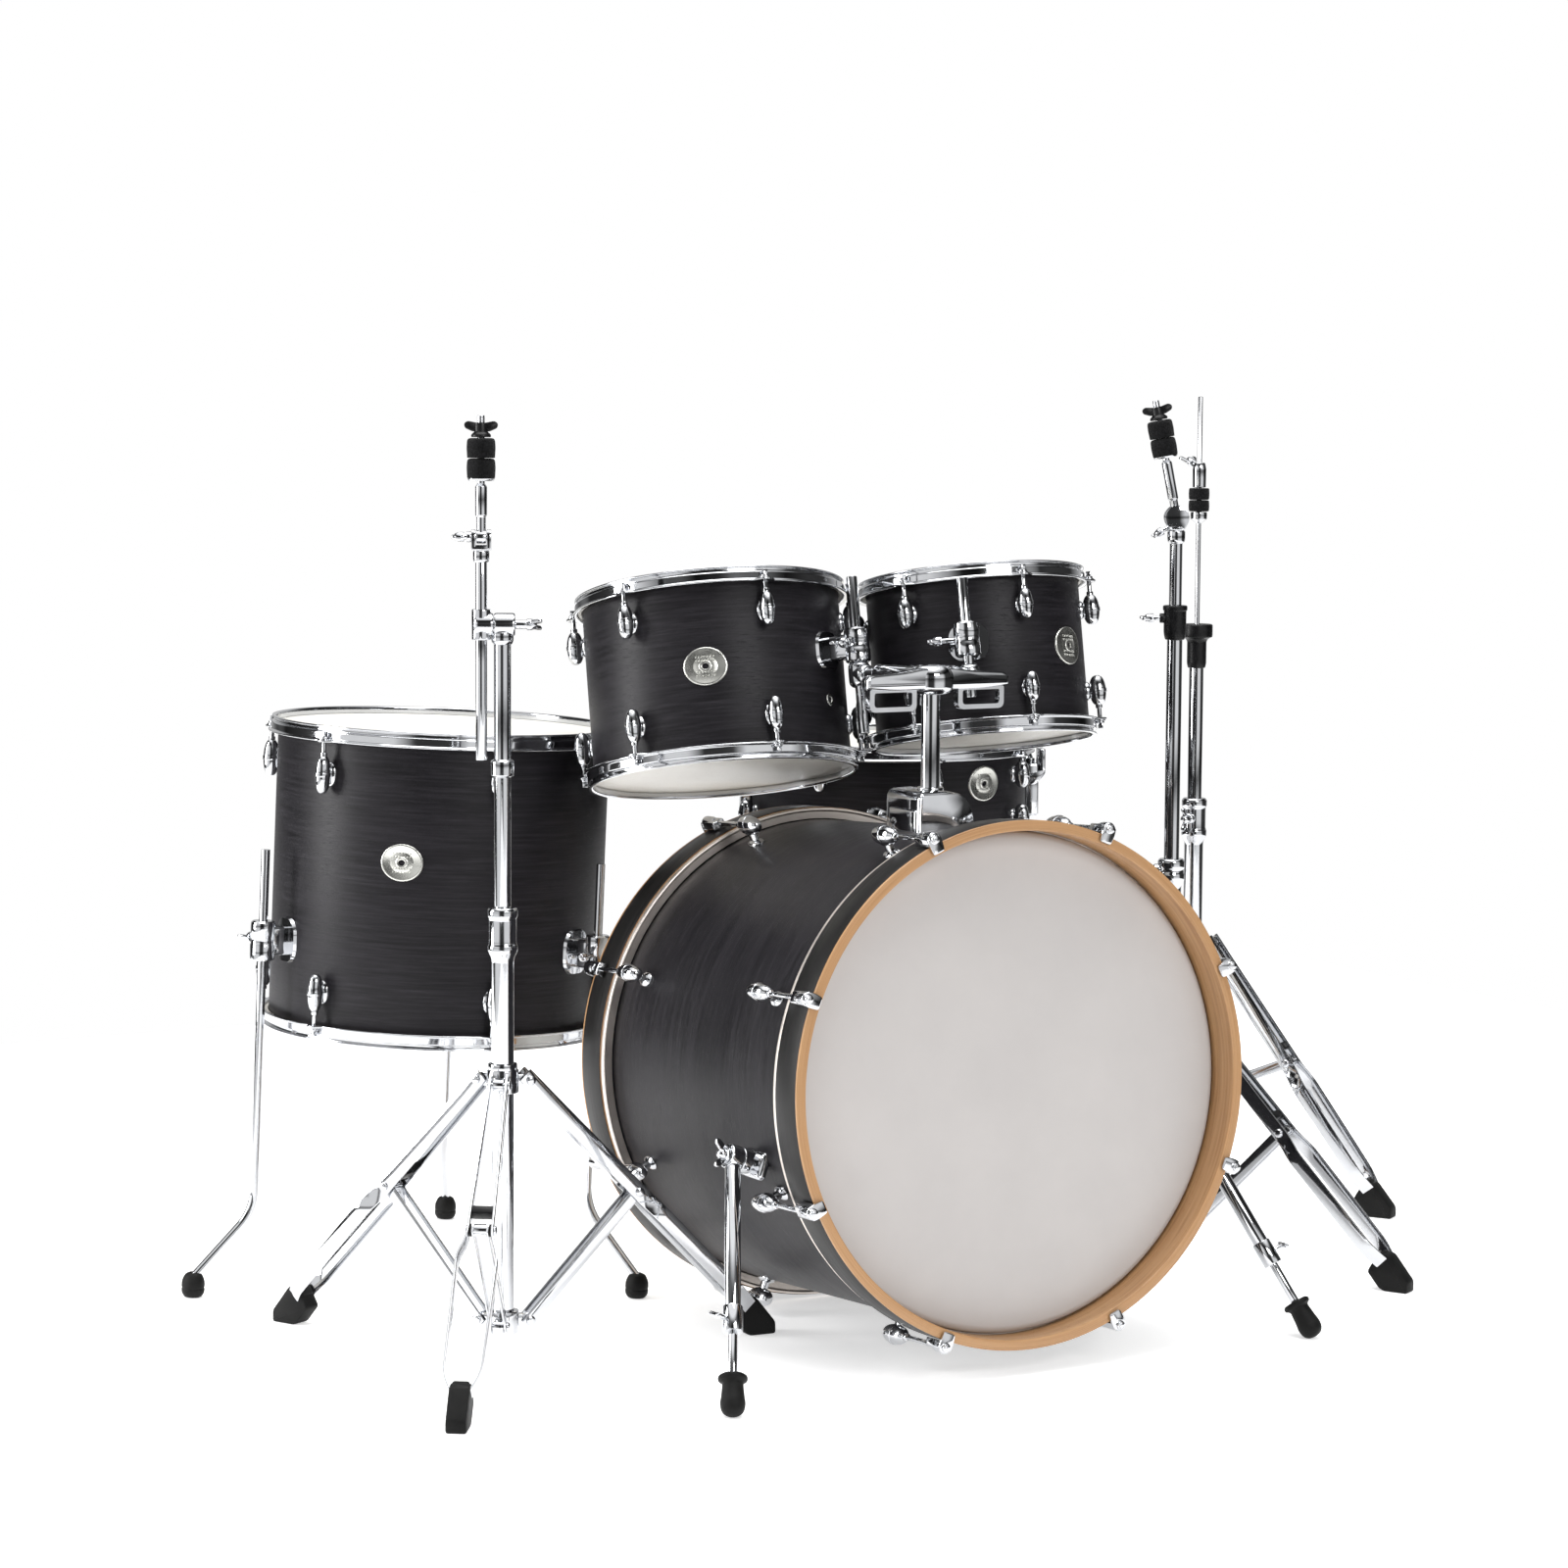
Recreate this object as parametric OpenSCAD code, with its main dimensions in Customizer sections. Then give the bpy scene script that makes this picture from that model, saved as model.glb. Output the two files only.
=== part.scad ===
// Acoustic drum kit: bass drum, two rack toms, floor tom, snare drum,
// two cymbal stands and a hi-hat stand. Millimetres, +Z up, floor at z = 0.
// The bass drum's front faces -Y and the drummer sits on the +Y side.

/* [Bass drum] */
// Outer radius of the wooden bass drum hoops
bass_hoop_r = 295; // [290:1:298]
// Outer radius of the bass drum shell
bass_shell_r = 279.5; // [278:0.5:280]
// Length over both hoops
bass_len = 507; // [500:1:515]
// Depth of one wooden hoop
bass_hoop_depth = 46; // [44:1:48]
// Angle by which the front is raised, in degrees
bass_tilt = 3.33; // [3:0.01:3.6]

/* [Rack toms] */
// Shell radius of the large rack tom
large_tom_r = 152.5; // [150:0.5:153]
// Height of the large rack tom from rim to rim
large_tom_h = 226; // [220:1:230]
// Shell radius of the small rack tom
small_tom_r = 127; // [125:0.5:127.5]
// Height of the small rack tom from rim to rim
small_tom_h = 201; // [196:1:204]

/* [Floor tom and snare] */
// Shell radius of the floor tom
floor_tom_r = 203; // [200:0.5:204]
// Height of the floor tom from rim to rim
floor_tom_h = 378; // [370:1:384]
// Shell radius of the snare drum
snare_r = 178; // [176:0.5:178.5]
// Height of the snare drum from rim to rim
snare_h = 139; // [134:1:141]
// Height of the snare drum's lower rim above the floor
snare_z = 508; // [500:1:515]

/* [Stands] */
// Radius at which the feet of a cymbal stand touch the floor
stand_foot_r = 312; // [300:1:318]
// Height of the leg pivots on a cymbal stand's sliding collar
stand_collar_z = 318; // [312:1:324]
// Height of the brace pivots at the bottom of a cymbal stand
stand_hub_z = 44; // [42:1:46]
// Radius of the lower tube of every stand
tube_r = 12.7; // [12.5:0.1:12.9]
// Radius of the upper tube of every stand
mid_tube_r = 9.5; // [9.3:0.1:9.7]

/* [Hidden] */
$fn = 64;

// Running clearance of a shaft in its bore, on the radius
run = 0.06;
// Gap between faces that pass each other
gap = 0.4;

// Moves the bass drum's front centre line to its place in the finished frame
kit_shift = [-116, -522, 0];

// Bass drum details
bass_front_z = bass_len * sin(bass_tilt) + bass_hoop_r * cos(bass_tilt);
bass_wall = 7;
bass_head_z = 36;
head_t = 1;
bass_lugs_n = 8;
bass_lug_z = 100;
bass_rod_r = 303;
// Where the tom post goes through the bass drum shell
post_y = 207;
post_r = 11;
post_hole_r = 14;

// Spurs: pivot, direction to the foot and hinge axis, for the left side
spur_pivot = [-304, 124, 250];
spur_foot = [-383, -20, 14];
spur_axis = [-0.873, -0.039, 0.309];
spur_pin_r = 5;

// Drums: centre of the lower rim, tilt and the direction of the tilt
large_tom_at = [-132.6, 455.1, 631.5];
large_tom_tilt = [14.13, 80.2];
small_tom_at = [156.7, 337.7, 672.4];
small_tom_tilt = [11.13, 84.75];
floor_tom_at = [-348.3, 802.7, 306.9];
floor_tom_tilt = [2.3, -20];
snare_at = [279, 757, snare_z];
drum_wall = 6;
rod_out = 13;
tom_lug_in = 52;
floor_lug_in = 58;
snare_lug_in = 42;
large_lug_turn = -36;
small_lug_turn = -37;
floor_lug_turn = 23.5 - 120;
snare_lug_turn = 32.1;

// Tom holder: arms start at the head and end at an upright rod beside each tom
arm_z = 762;
arm_r = 9.5;
rod_r = 6.35;
large_rod = [196, -60];
small_rod = [160, -126];
head_r = 26;

// Floor tom legs, in the floor tom's own frame
leg_r = 5.25;
leg_line_r = 235;
leg_foot_r = 311;
leg_top_z = 222;
leg_bracket_z = 112;
leg_angles = [182, 300, 60];
floor_foot_h = 30;

// Stands: place on the floor and direction of the first leg
left_stand_at = [-483.3, 331.9, 0];
left_turn = 115.5;
right_stand_at = [485, 412, 0];
right_turn = 297;
hihat_at = [749, 732, 0];
hihat_turn = 302;
snare_stand_turn = 90;
hihat_foot_r = 270;
hihat_collar_z = 350;
hihat_hub_z = 150;
snare_foot_r = 235;
snare_collar_z = 290;
snare_hub_z = 60;
hub_r = 30;
leg_end_z = 25;
strip_w = 18;
strip_t = 2.5;
pin_r = 3;
tube_wall = 1.5;
boom_turn = 154.5;
boom_off = 23.3;
clamp_z = 830;
boom_low_z = 679;
left_tilter_z = 927;
boom_r = 6.35;
sleeve_low_z = 462;
sleeve_top_z = 514;
right_sleeve = [482, 510];
right_clamp = [784, 827];
right_tilter_z = 936;
right_top_r = 7.9;
right_seat_tilt = 11;
seat_turn = 150;
hihat_sleeve = [493, 546];
hihat_cup = [730, 763, 781];
hihat_rod_r = 3.2;
hihat_rod_top = 1085;
pedal_turn = 122;
pedal_heel = 300;
pedal_hinge_z = 24;
pedal_toe_z = 92;

// Colours
black = [0.06, 0.06, 0.06];
ebony = [0.17, 0.16, 0.18];
chrome = [0.78, 0.79, 0.81];
film = [0.86, 0.85, 0.82];
maple = [0.76, 0.58, 0.38];

// ---- frames -------------------------------------------------------------

module kit() translate(kit_shift) children();

// Tilts the local z axis by t[0] degrees towards the direction t[1]
module tilted(t) rotate([0, t[0], t[1]]) rotate([0, 0, -t[1]]) children();

// Bass drum frame: z runs from the front face to the back, y points down
module bass_frame() translate([0, 0, bass_front_z]) rotate([-90 - bass_tilt, 0, 0]) children();

// Puts children at both ends of a drum of length h, the second one mirrored
module both_ends(h) {
    children();
    translate([0, 0, h]) mirror([0, 0, 1]) children();
}

// Turns the z axis into the direction d
module along(d) rotate([0, acos(d[2] / norm(d)), atan2(d[1], d[0])]) children();

module rod_between(a, b, r) translate(a) along(b - a) cylinder(r = r, h = norm(b - a));

module large_tom_frame() kit() translate(large_tom_at) tilted(large_tom_tilt) children();
module small_tom_frame() kit() translate(small_tom_at) tilted(small_tom_tilt) children();
module floor_tom_frame() kit() translate(floor_tom_at) tilted(floor_tom_tilt) children();
module snare_frame() kit() translate(snare_at) children();

// Direction of a tilted axis
function axis_of(t) = [sin(t[0]) * cos(t[1]), sin(t[0]) * sin(t[1]), cos(t[0])];

// Point where a tom's upright rod passes the height arm_z
function rod_point(at, t, rod) =
    let (a = axis_of(t), c = at + a * ((arm_z - at[2]) / a[2]))
    [c[0] + rod[0] * cos(rod[1]), c[1] + rod[0] * sin(rod[1]), arm_z];

// ---- shared drum parts --------------------------------------------------

module tube(r_out, r_in, h) difference() {
    cylinder(r = r_out, h = h, $fn = 96);
    translate([0, 0, -1]) cylinder(r = r_in, h = h + 2, $fn = 96);
}

// Steel triple-flanged hoop at the lower end of a drum, with an ear for each rod
module steel_hoop(r, n, turn) {
    rotate_extrude($fn = 96) polygon([[r + 8, 0], [r + 2, 0], [r + 2, 8.7], [r + 6.2, 8.7],
        [r + 6.2, 19], [r + 12, 19], [r + 12, 16.7], [r + 8.5, 16.7], [r + 8.5, 6.4],
        [r + 4.3, 6.4], [r + 4.3, 2.3], [r + 8, 2.3]]);
    for (i = [0:n - 1]) rotate(turn + i * 360 / n)
        translate([r + rod_out, 0, 16.9]) difference() {
            cylinder(r = 8, h = 1.8, $fn = 32);
            translate([-24, -20, -1]) cube([20, 40, 5]);
        }
}

// Drum head: film and flesh hoop
module drum_head(r) rotate_extrude($fn = 96) polygon([[0, 9], [r + 5.6, 9], [r + 5.6, 16],
    [r + 0.8, 16], [r + 0.8, 10], [0, 10]]);

// Rounded lug casing centred on the origin, long axis z, standing out along x
module lug_body(len, r, out) {
    steps = 8;
    rotate_extrude($fn = 32) polygon([for (i = [0:steps]) let (a = 180 * i / steps)
        [r * sin(a), -len / 2 * cos(a)]]);
    translate([-out, 0, 0]) rotate([0, 90, 0]) cylinder(r = r * 0.7, h = out, $fn = 32);
}

// Lugs and tension rods at the lower end of a drum with shell radius r
module lug_ring(r, n, turn, lug_in, len) for (i = [0:n - 1]) rotate(turn + i * 360 / n)
    translate([r + rod_out, 0, 0]) {
        translate([0, 0, lug_in]) lug_body(len, 10, rod_out);
        translate([0, 0, 19]) cylinder(r = 2.6, h = lug_in - 19, $fn = 24);
        translate([0, 0, 11]) cylinder(r = 4.1, h = 5.7, $fn = 24);
    }

module shell_of(r, h) translate([0, 0, 10]) tube(r, r - drum_wall, h - 20);

// Clamp that holds an upright rod beside a tom: block, web to the shell and wing bolt
module rod_bracket(r, rod, at_z) {
    reach = rod[0] - r;
    rotate(rod[1]) difference() {
        translate([0, 0, at_z]) {
            translate([rod[0], 0, -20]) cylinder(r = 15, h = 40);
            translate([r - 4, -15, -16]) cube([reach, 30, 32]);
            translate([r - 4, -26, -24]) cube([9, 52, 48]);
            translate([rod[0], 0, 0]) rotate([90, 0, 0]) cylinder(r = 5, h = 34, $fn = 32);
            translate([rod[0] - 4, -44, -15]) cube([8, 10, 30]);
        }
        cylinder(r = r, h = at_z + 40, $fn = 96);
        translate([rod[0], 0, 0]) cylinder(r = rod_r + run, h = at_z + 40);
    }
}

// ---- bass drum ----------------------------------------------------------

module bass_shell() color(ebony) kit() bass_frame() difference() {
    translate([0, 0, bass_head_z + head_t])
        tube(bass_shell_r, bass_shell_r - bass_wall, bass_len - 2 * (bass_head_z + head_t));
    post_z = post_y / cos(bass_tilt);
    translate([0, 0, post_z]) rotate([90 + bass_tilt, 0, 0]) translate([0, 0, 200])
        cylinder(r = post_hole_r, h = 120, $fn = 48);
}

module bass_hoops() color(maple) kit() bass_frame() both_ends(bass_len)
    tube(bass_hoop_r, bass_hoop_r - 12, bass_hoop_depth);

module bass_heads() color(film) kit() bass_frame() both_ends(bass_len)
    rotate_extrude($fn = 96) polygon([[0, bass_head_z], [282.2, bass_head_z],
        [282.2, bass_hoop_depth + 0.3], [bass_hoop_r - 1.5, bass_hoop_depth + 0.3],
        [bass_hoop_r - 1.5, bass_hoop_depth + 8], [280.6, bass_hoop_depth + 8],
        [280.6, bass_head_z + head_t], [0, bass_head_z + head_t]]);

module bass_lug_angles() for (i = [0:bass_lugs_n - 1]) rotate(22.5 + i * 360 / bass_lugs_n)
    translate([bass_rod_r, 0, 0]) children();

module bass_lugs() color(chrome) kit() bass_frame() both_ends(bass_len) bass_lug_angles()
    translate([0, 0, bass_lug_z]) lug_body(46, 11.5, bass_rod_r - bass_shell_r);

// Claw hooks and their tension rods
module bass_claws() color(chrome) kit() bass_frame() both_ends(bass_len) bass_lug_angles() {
    translate([0, 0, -5]) cylinder(r = 7, h = 22, $fn = 32);
    translate([-17, -9, -5]) cube([19, 18, 4.8]);
    translate([0, 0, 17]) cylinder(r = 3, h = bass_lug_z - 17 - 22.6, $fn = 24);
    translate([0, 0, -9]) cylinder(r = 4, h = 4, $fn = 24);
}

module spur_side(s) { mirror([s > 0 ? 1 : 0, 0, 0]) children(); }

// Boss, curved foot plate, hinge pin and wing bolt of one spur bracket
module spur_bracket() {
    difference() {
        translate(spur_pivot) along(-spur_axis) {
            translate([0, 0, 8 + gap]) cylinder(r = 14, h = 40);
            translate([0, 0, 31]) cylinder(r = 24, h = 12);
        }
        bass_frame() cylinder(r = bass_shell_r, h = bass_len, $fn = 96);
    }
    translate(spur_pivot) along(-spur_axis) translate([0, 0, -14]) cylinder(r = spur_pin_r, h = 23);
    translate(spur_pivot) along(spur_axis) translate([0, 0, 8 + gap]) {
        cylinder(r = 8, h = 8);
        translate([-16, -3, 3]) cube([32, 6, 9]);
    }
}

module spur_brackets() color(chrome) kit() for (s = [-1, 1]) spur_side(s) spur_bracket();

module spur_leg() {
    dir = (spur_foot - spur_pivot) / norm(spur_foot - spur_pivot);
    difference() {
        union() {
            translate(spur_pivot) along(spur_axis) translate([0, 0, -8]) cylinder(r = 14, h = 16);
            rod_between(spur_pivot, spur_pivot + dir * 30, 7.6);
            rod_between(spur_pivot + dir * 15, spur_pivot + dir * 200, 9);
            rod_between(spur_pivot + dir * 180, spur_pivot + dir * 206, 11);
            rod_between(spur_pivot + dir * 200, spur_foot, 5);
        }
        translate(spur_pivot) along(spur_axis) translate([0, 0, -20])
            cylinder(r = spur_pin_r + run, h = 40);
    }
    translate(spur_foot) sphere(r = 14);
    rod_between(spur_foot - dir * 24, spur_foot, 12);
    rod_between(spur_foot - dir * 30, spur_foot - dir * 24, 16);
}

module spur_left() color(chrome) kit() spur_side(-1) spur_leg();
module spur_right() color(chrome) kit() spur_side(1) spur_leg();

// ---- tom holder ---------------------------------------------------------

module tom_holder_base() color(chrome) kit() difference() {
    union() {
        translate([0, post_y + 38, 0]) rotate([90, 0, 0]) linear_extrude(height = 72)
            polygon([[-37, 574], [-36, 632], [-33, 636], [4, 637], [16, 634], [27, 626],
                [34, 613], [38, 596], [39, 574]]);
        translate([0, post_y + 30, 615]) rotate([-90, 0, 0]) cylinder(r = 6, h = 26, $fn = 32);
        translate([-5, post_y + 52, 600]) cube([10, 10, 30]);
    }
    bass_frame() cylinder(r = bass_shell_r, h = bass_len, $fn = 96);
    translate([0, post_y, 560]) cylinder(r = post_r + run, h = 120);
}

module tom_post() color(chrome) kit() translate([0, post_y, 470])
    cylinder(r = post_r, h = arm_z - 16 - 470);

large_rod_at = rod_point(large_tom_at, large_tom_tilt, large_rod);
small_rod_at = rod_point(small_tom_at, small_tom_tilt, small_rod);
head_at = [0, post_y, arm_z];

// Socket and arm are drawn in a frame with x from the head to the rod
module arm_frame(rod_at) translate(head_at)
    rotate(atan2(rod_at[1] - head_at[1], rod_at[0] - head_at[0])) children();

module head_socket(len) rotate([0, 90, 0]) cylinder(r = 15, h = len);

// Crossbar across the head with a handle loop under each half
module head_crossbar() difference() {
    union() {
        translate([0, -2, 0]) rotate([90, 0, 0]) linear_extrude(height = 16)
            polygon([[-94, -7], [-94, 6], [-88, 8], [-20, 14], [20, 14], [88, 8], [94, 6], [94, -7],
                [60, -10], [-60, -10]]);
        for (s = [-1, 1]) translate([s * 59 - 31, -14, -34]) cube([62, 9, 26]);
    }
    for (s = [-1, 1]) translate([s * 59 - 25, -20, -28.5]) cube([50, 20, 14.5]);
}

large_socket = 84;
small_socket = 48;

module tom_holder_head() color(chrome) kit() difference() {
    union() {
        translate(head_at - [0, 0, 16]) cylinder(r = head_r, h = 34);
        arm_frame(large_rod_at) head_socket(large_socket);
        arm_frame(small_rod_at) head_socket(small_socket);
        translate(head_at) head_crossbar();
    }
    for (p = [large_rod_at, small_rod_at]) arm_frame(p)
        translate([30, 0, 0]) rotate([0, 90, 0]) cylinder(r = arm_r + run, h = 100);
}

// Horizontal arm, elbow and upright rod for one tom
module tom_arm(rod_at, t, below, above) {
    reach = norm(rod_at - head_at);
    arm_frame(rod_at) translate([31, 0, 0]) rotate([0, 90, 0]) cylinder(r = arm_r, h = reach - 31);
    a = axis_of(t);
    translate(rod_at) sphere(r = 13);
    rod_between(rod_at - a * below, rod_at + a * above, rod_r);
}

module tom_arm_left() color(chrome) kit() tom_arm(large_rod_at, large_tom_tilt, 70, 116);
module tom_arm_right() color(chrome) kit() tom_arm(small_rod_at, small_tom_tilt, 24, 116);

// ---- rack toms ----------------------------------------------------------

// Height of each bracket's middle above the tom's lower rim, along the tom's axis
large_bracket_z = (large_rod_at - large_tom_at) * axis_of(large_tom_tilt) + 34;
small_bracket_z = (small_rod_at - small_tom_at) * axis_of(small_tom_tilt) + 44;

module large_tom_shell() color(ebony) large_tom_frame() shell_of(large_tom_r, large_tom_h);
module large_tom_heads() color(film) large_tom_frame() both_ends(large_tom_h) drum_head(large_tom_r);
module large_tom_hoops() color(chrome) large_tom_frame() both_ends(large_tom_h)
    steel_hoop(large_tom_r, 6, large_lug_turn);
module large_tom_lugs() color(chrome) large_tom_frame() both_ends(large_tom_h)
    lug_ring(large_tom_r, 6, large_lug_turn, tom_lug_in, 40);
module large_tom_bracket() color(chrome) large_tom_frame()
    rod_bracket(large_tom_r, tilted_rod(large_tom_at, large_tom_tilt, large_rod_at), large_bracket_z);

module small_tom_shell() color(ebony) small_tom_frame() shell_of(small_tom_r, small_tom_h);
module small_tom_heads() color(film) small_tom_frame() both_ends(small_tom_h) drum_head(small_tom_r);
module small_tom_hoops() color(chrome) small_tom_frame() both_ends(small_tom_h)
    steel_hoop(small_tom_r, 6, small_lug_turn);
module small_tom_lugs() color(chrome) small_tom_frame() both_ends(small_tom_h)
    lug_ring(small_tom_r, 6, small_lug_turn, tom_lug_in, 36);
module small_tom_bracket() color(chrome) small_tom_frame()
    rod_bracket(small_tom_r, tilted_rod(small_tom_at, small_tom_tilt, small_rod_at), small_bracket_z);

// The rod's distance and direction from the tom's axis, in the tom's own frame
function tilted_rod(at, t, p) =
    let (a = axis_of(t), d = p - at, q = d - a * (d * a),
         u = [cos(t[1]), sin(t[1]), 0], lean = [cos(t[0]) * u[0], cos(t[0]) * u[1], -sin(t[0])],
         side = [-u[1], u[0], 0])
    [norm(q), t[1] + atan2(q * side, q * lean)];

// ---- floor tom ----------------------------------------------------------

module floor_tom_shell() color(ebony) floor_tom_frame() shell_of(floor_tom_r, floor_tom_h);
module floor_tom_heads() color(film) floor_tom_frame() both_ends(floor_tom_h) drum_head(floor_tom_r);
module floor_tom_hoops() color(chrome) floor_tom_frame() both_ends(floor_tom_h)
    steel_hoop(floor_tom_r, 6, floor_lug_turn);
module floor_tom_lugs() color(chrome) floor_tom_frame() both_ends(floor_tom_h)
    lug_ring(floor_tom_r, 6, floor_lug_turn, floor_lug_in, 46);

module floor_leg_bracket() difference() {
    translate([0, 0, leg_bracket_z]) {
        translate([leg_line_r, 0, -24]) cylinder(r = 15, h = 48);
        translate([floor_tom_r - 4, -13, -20]) cube([leg_line_r - floor_tom_r, 26, 40]);
        translate([floor_tom_r - 4, -24, -29]) cube([10, 48, 58]);
        translate([leg_line_r, 0, 0]) rotate([90, 0, 0]) cylinder(r = 5, h = 36, $fn = 32);
        translate([leg_line_r - 4, -46, -14]) cube([8, 10, 28]);
    }
    cylinder(r = floor_tom_r, h = 200, $fn = 96);
    translate([leg_line_r, 0, 0]) cylinder(r = leg_r + run, h = 200);
}

module floor_leg_brackets() color(chrome) floor_tom_frame()
    for (a = leg_angles) rotate(a) floor_leg_bracket();

// Height of the floor in the floor tom's frame, at radius r and direction a
function floor_under(r, a) =
    (r * sin(floor_tom_tilt[0]) * cos(a - floor_tom_tilt[1]) - floor_tom_at[2]) / cos(floor_tom_tilt[0]);

// Bent steel leg with its rubber foot
module floor_leg(i) {
    a = leg_angles[i];
    z0 = floor_under(leg_foot_r, a) + 0.6;
    bend_out = leg_foot_r - leg_line_r;
    z1 = z0 + 24;
    z2 = z1 + bend_out;
    rotate(a) {
        rod_between([leg_line_r, 0, z2], [leg_line_r, 0, leg_top_z], leg_r);
        translate([leg_line_r, 0, z2]) sphere(r = leg_r + 0.5);
        rod_between([leg_line_r, 0, z2], [leg_foot_r, 0, z1], leg_r);
        translate([leg_foot_r, 0, z0]) cylinder(r1 = 12, r2 = 14, h = 4);
        translate([leg_foot_r, 0, z0 + 4]) cylinder(r = 14, h = floor_foot_h - 4);
    }
}

module floor_leg_1() color(chrome) floor_tom_frame() floor_leg(0);
module floor_leg_2() color(chrome) floor_tom_frame() floor_leg(1);
module floor_leg_3() color(chrome) floor_tom_frame() floor_leg(2);

// ---- tripods ------------------------------------------------------------
// Each tripod has three strip legs on a sliding collar, and three braces from the hub.

function leg_vec(foot_r, collar_z) = [foot_r - hub_r, leg_end_z - collar_z];
function leg_unit(v) = v / norm(v);

// One pair of flat strips along x, following the half-widths in path: [x, y] points
module strip_pair(path, w, t) for (s = [-1, 1]) translate([0, 0, -w / 2])
    linear_extrude(height = w) polygon(concat([for (p = path) [p[0], s * p[1]]],
        [for (i = [len(path) - 1:-1:0]) [path[i][0], s * (path[i][1] + t)]]));

// A leg in its own plane: x from the collar pivot to the foot, y sideways
module leg_strips(len, mid) {
    path = [[-9, 8], [20, 8], [mid - 12, 12], [mid + 12, 12], [mid + 34, 21], [len - 34, 19],
        [len - 8, 6], [len + 6, 6]];
    strip_pair(path, strip_w, strip_t);
    rotate([90, 0, 0]) cylinder(r = pin_r, h = 26, center = true, $fn = 32);
    translate([mid, 0, 0]) rotate([90, 0, 0]) cylinder(r = pin_r, h = 34, center = true, $fn = 32);
    for (s = [-1, 1]) translate([0, s * 11.5, 0]) rotate([90, 0, 0])
        cylinder(r = 5.5, h = 3, center = true, $fn = 32);
    for (s = [-1, 1]) translate([mid, s * 15.5, 0]) rotate([90, 0, 0])
        cylinder(r = 6, h = 3, center = true, $fn = 32);
}

// Wedge-shaped rubber foot, drawn where it stands
module rubber_foot(foot_r) translate([foot_r, 0, 0]) rotate([90, 0, 0])
    linear_extrude(height = 25, center = true)
        polygon([[-30, 22], [-16, 46], [-2, 46], [24, 14], [24, 2], [22, 0], [-8, 0], [-14, 3]]);

// Stand frame: local x points along the leg
module tripod_leg(foot_r, collar_z, mid) {
    v = leg_vec(foot_r, collar_z);
    translate([hub_r, 0, collar_z]) rotate([0, atan2(-v[1], v[0]), 0]) leg_strips(norm(v), mid);
    rubber_foot(foot_r);
}

// Brace from the hub pivot to the leg's middle pivot
module tripod_brace(foot_r, collar_z, hub_z, mid) {
    m = [hub_r, collar_z] + leg_unit(leg_vec(foot_r, collar_z)) * mid;
    v = m - [hub_r, hub_z];
    len = norm(v);
    translate([hub_r, 0, hub_z]) rotate([0, -atan2(v[1], v[0]), 0]) {
        difference() {
            union() {
                strip_pair([[-7, 7.2], [len + 7, 7.2]], 14, 2);
                translate([len, 0, 0]) rotate([90, 0, 0]) cylinder(r = 7, h = 14.5, center = true);
            }
            translate([len, 0, 0]) rotate([90, 0, 0]) cylinder(r = pin_r + run, h = 40, center = true);
        }
        rotate([90, 0, 0]) cylinder(r = pin_r, h = 18.4, center = true, $fn = 32);
    }
}

// Ring with three ears, bored for the leg or brace pins
module eared_ring(bore) difference() {
    union() {
        translate([0, 0, -13]) cylinder(r = 18, h = 26);
        for (i = [0:2]) rotate(i * 120) {
            translate([14, -6, -7]) cube([hub_r - 14, 12, 14]);
            translate([hub_r, 0, 0]) rotate([90, 0, 0]) cylinder(r = 7, h = 12, center = true);
        }
    }
    translate([0, 0, -20]) cylinder(r = bore, h = 40);
    for (i = [0:2]) rotate(i * 120) translate([hub_r, 0, 0]) rotate([90, 0, 0])
        cylinder(r = pin_r + run, h = 14, center = true);
}

// Distance from the collar pivot to the leg's middle pivot; here brace and leg make two equal sides
stand_mid = (stand_collar_z - stand_hub_z) / 2 * norm(leg_vec(stand_foot_r, stand_collar_z))
    / (stand_collar_z - leg_end_z);
hihat_mid = 190;
snare_mid = 165;

module left_frame() kit() translate(left_stand_at) rotate(left_turn) children();
module right_frame() kit() translate(right_stand_at) rotate(right_turn) children();
module hihat_frame() kit() translate(hihat_at) rotate(hihat_turn) children();
module snare_stand_frame() kit() translate([snare_at[0], snare_at[1], 0])
    rotate(snare_stand_turn) children();

// Lower tube with the bored sleeve that clamps the tube inside it
module base_tube(z0, sleeve, inner_r) difference() {
    union() {
        translate([0, 0, z0]) cylinder(r = tube_r, h = sleeve[0] - z0 + 10);
        translate([0, 0, sleeve[0]]) cylinder(r = 17, h = sleeve[1] - sleeve[0]);
        translate([0, 0, sleeve[0] + 24]) rotate([90, 0, 0]) cylinder(r = 5, h = 34, $fn = 32);
        translate([-4, -42, sleeve[0] + 10]) cube([8, 9, 28]);
    }
    translate([0, 0, z0 + 16]) cylinder(r = inner_r + run, h = sleeve[1]);
}

// ---- left boom stand ----------------------------------------------------

module left_stand_base() color(chrome) left_frame() {
    translate([0, 0, stand_hub_z]) eared_ring(5);
    rotate(60 - left_turn + 90) base_tube(stand_hub_z + 4, [sleeve_low_z, sleeve_top_z], mid_tube_r);
}

module left_collar() color(chrome) left_frame()
    translate([0, 0, stand_collar_z]) eared_ring(tube_r + run);

module left_leg(i) left_frame() rotate(i * 120) tripod_leg(stand_foot_r, stand_collar_z, stand_mid);
module left_brace(i) left_frame() rotate(i * 120)
    tripod_brace(stand_foot_r, stand_collar_z, stand_hub_z, stand_mid);

module left_leg_1() color(chrome) left_leg(0);
module left_leg_2() color(chrome) left_leg(1);
module left_leg_3() color(chrome) left_leg(2);
module left_brace_1() color(chrome) left_brace(0);
module left_brace_2() color(chrome) left_brace(1);
module left_brace_3() color(chrome) left_brace(2);

// Boom frame: local x points from the tube to the boom arm
module boom_frame() kit() translate(left_stand_at) rotate(boom_turn) children();

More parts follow.
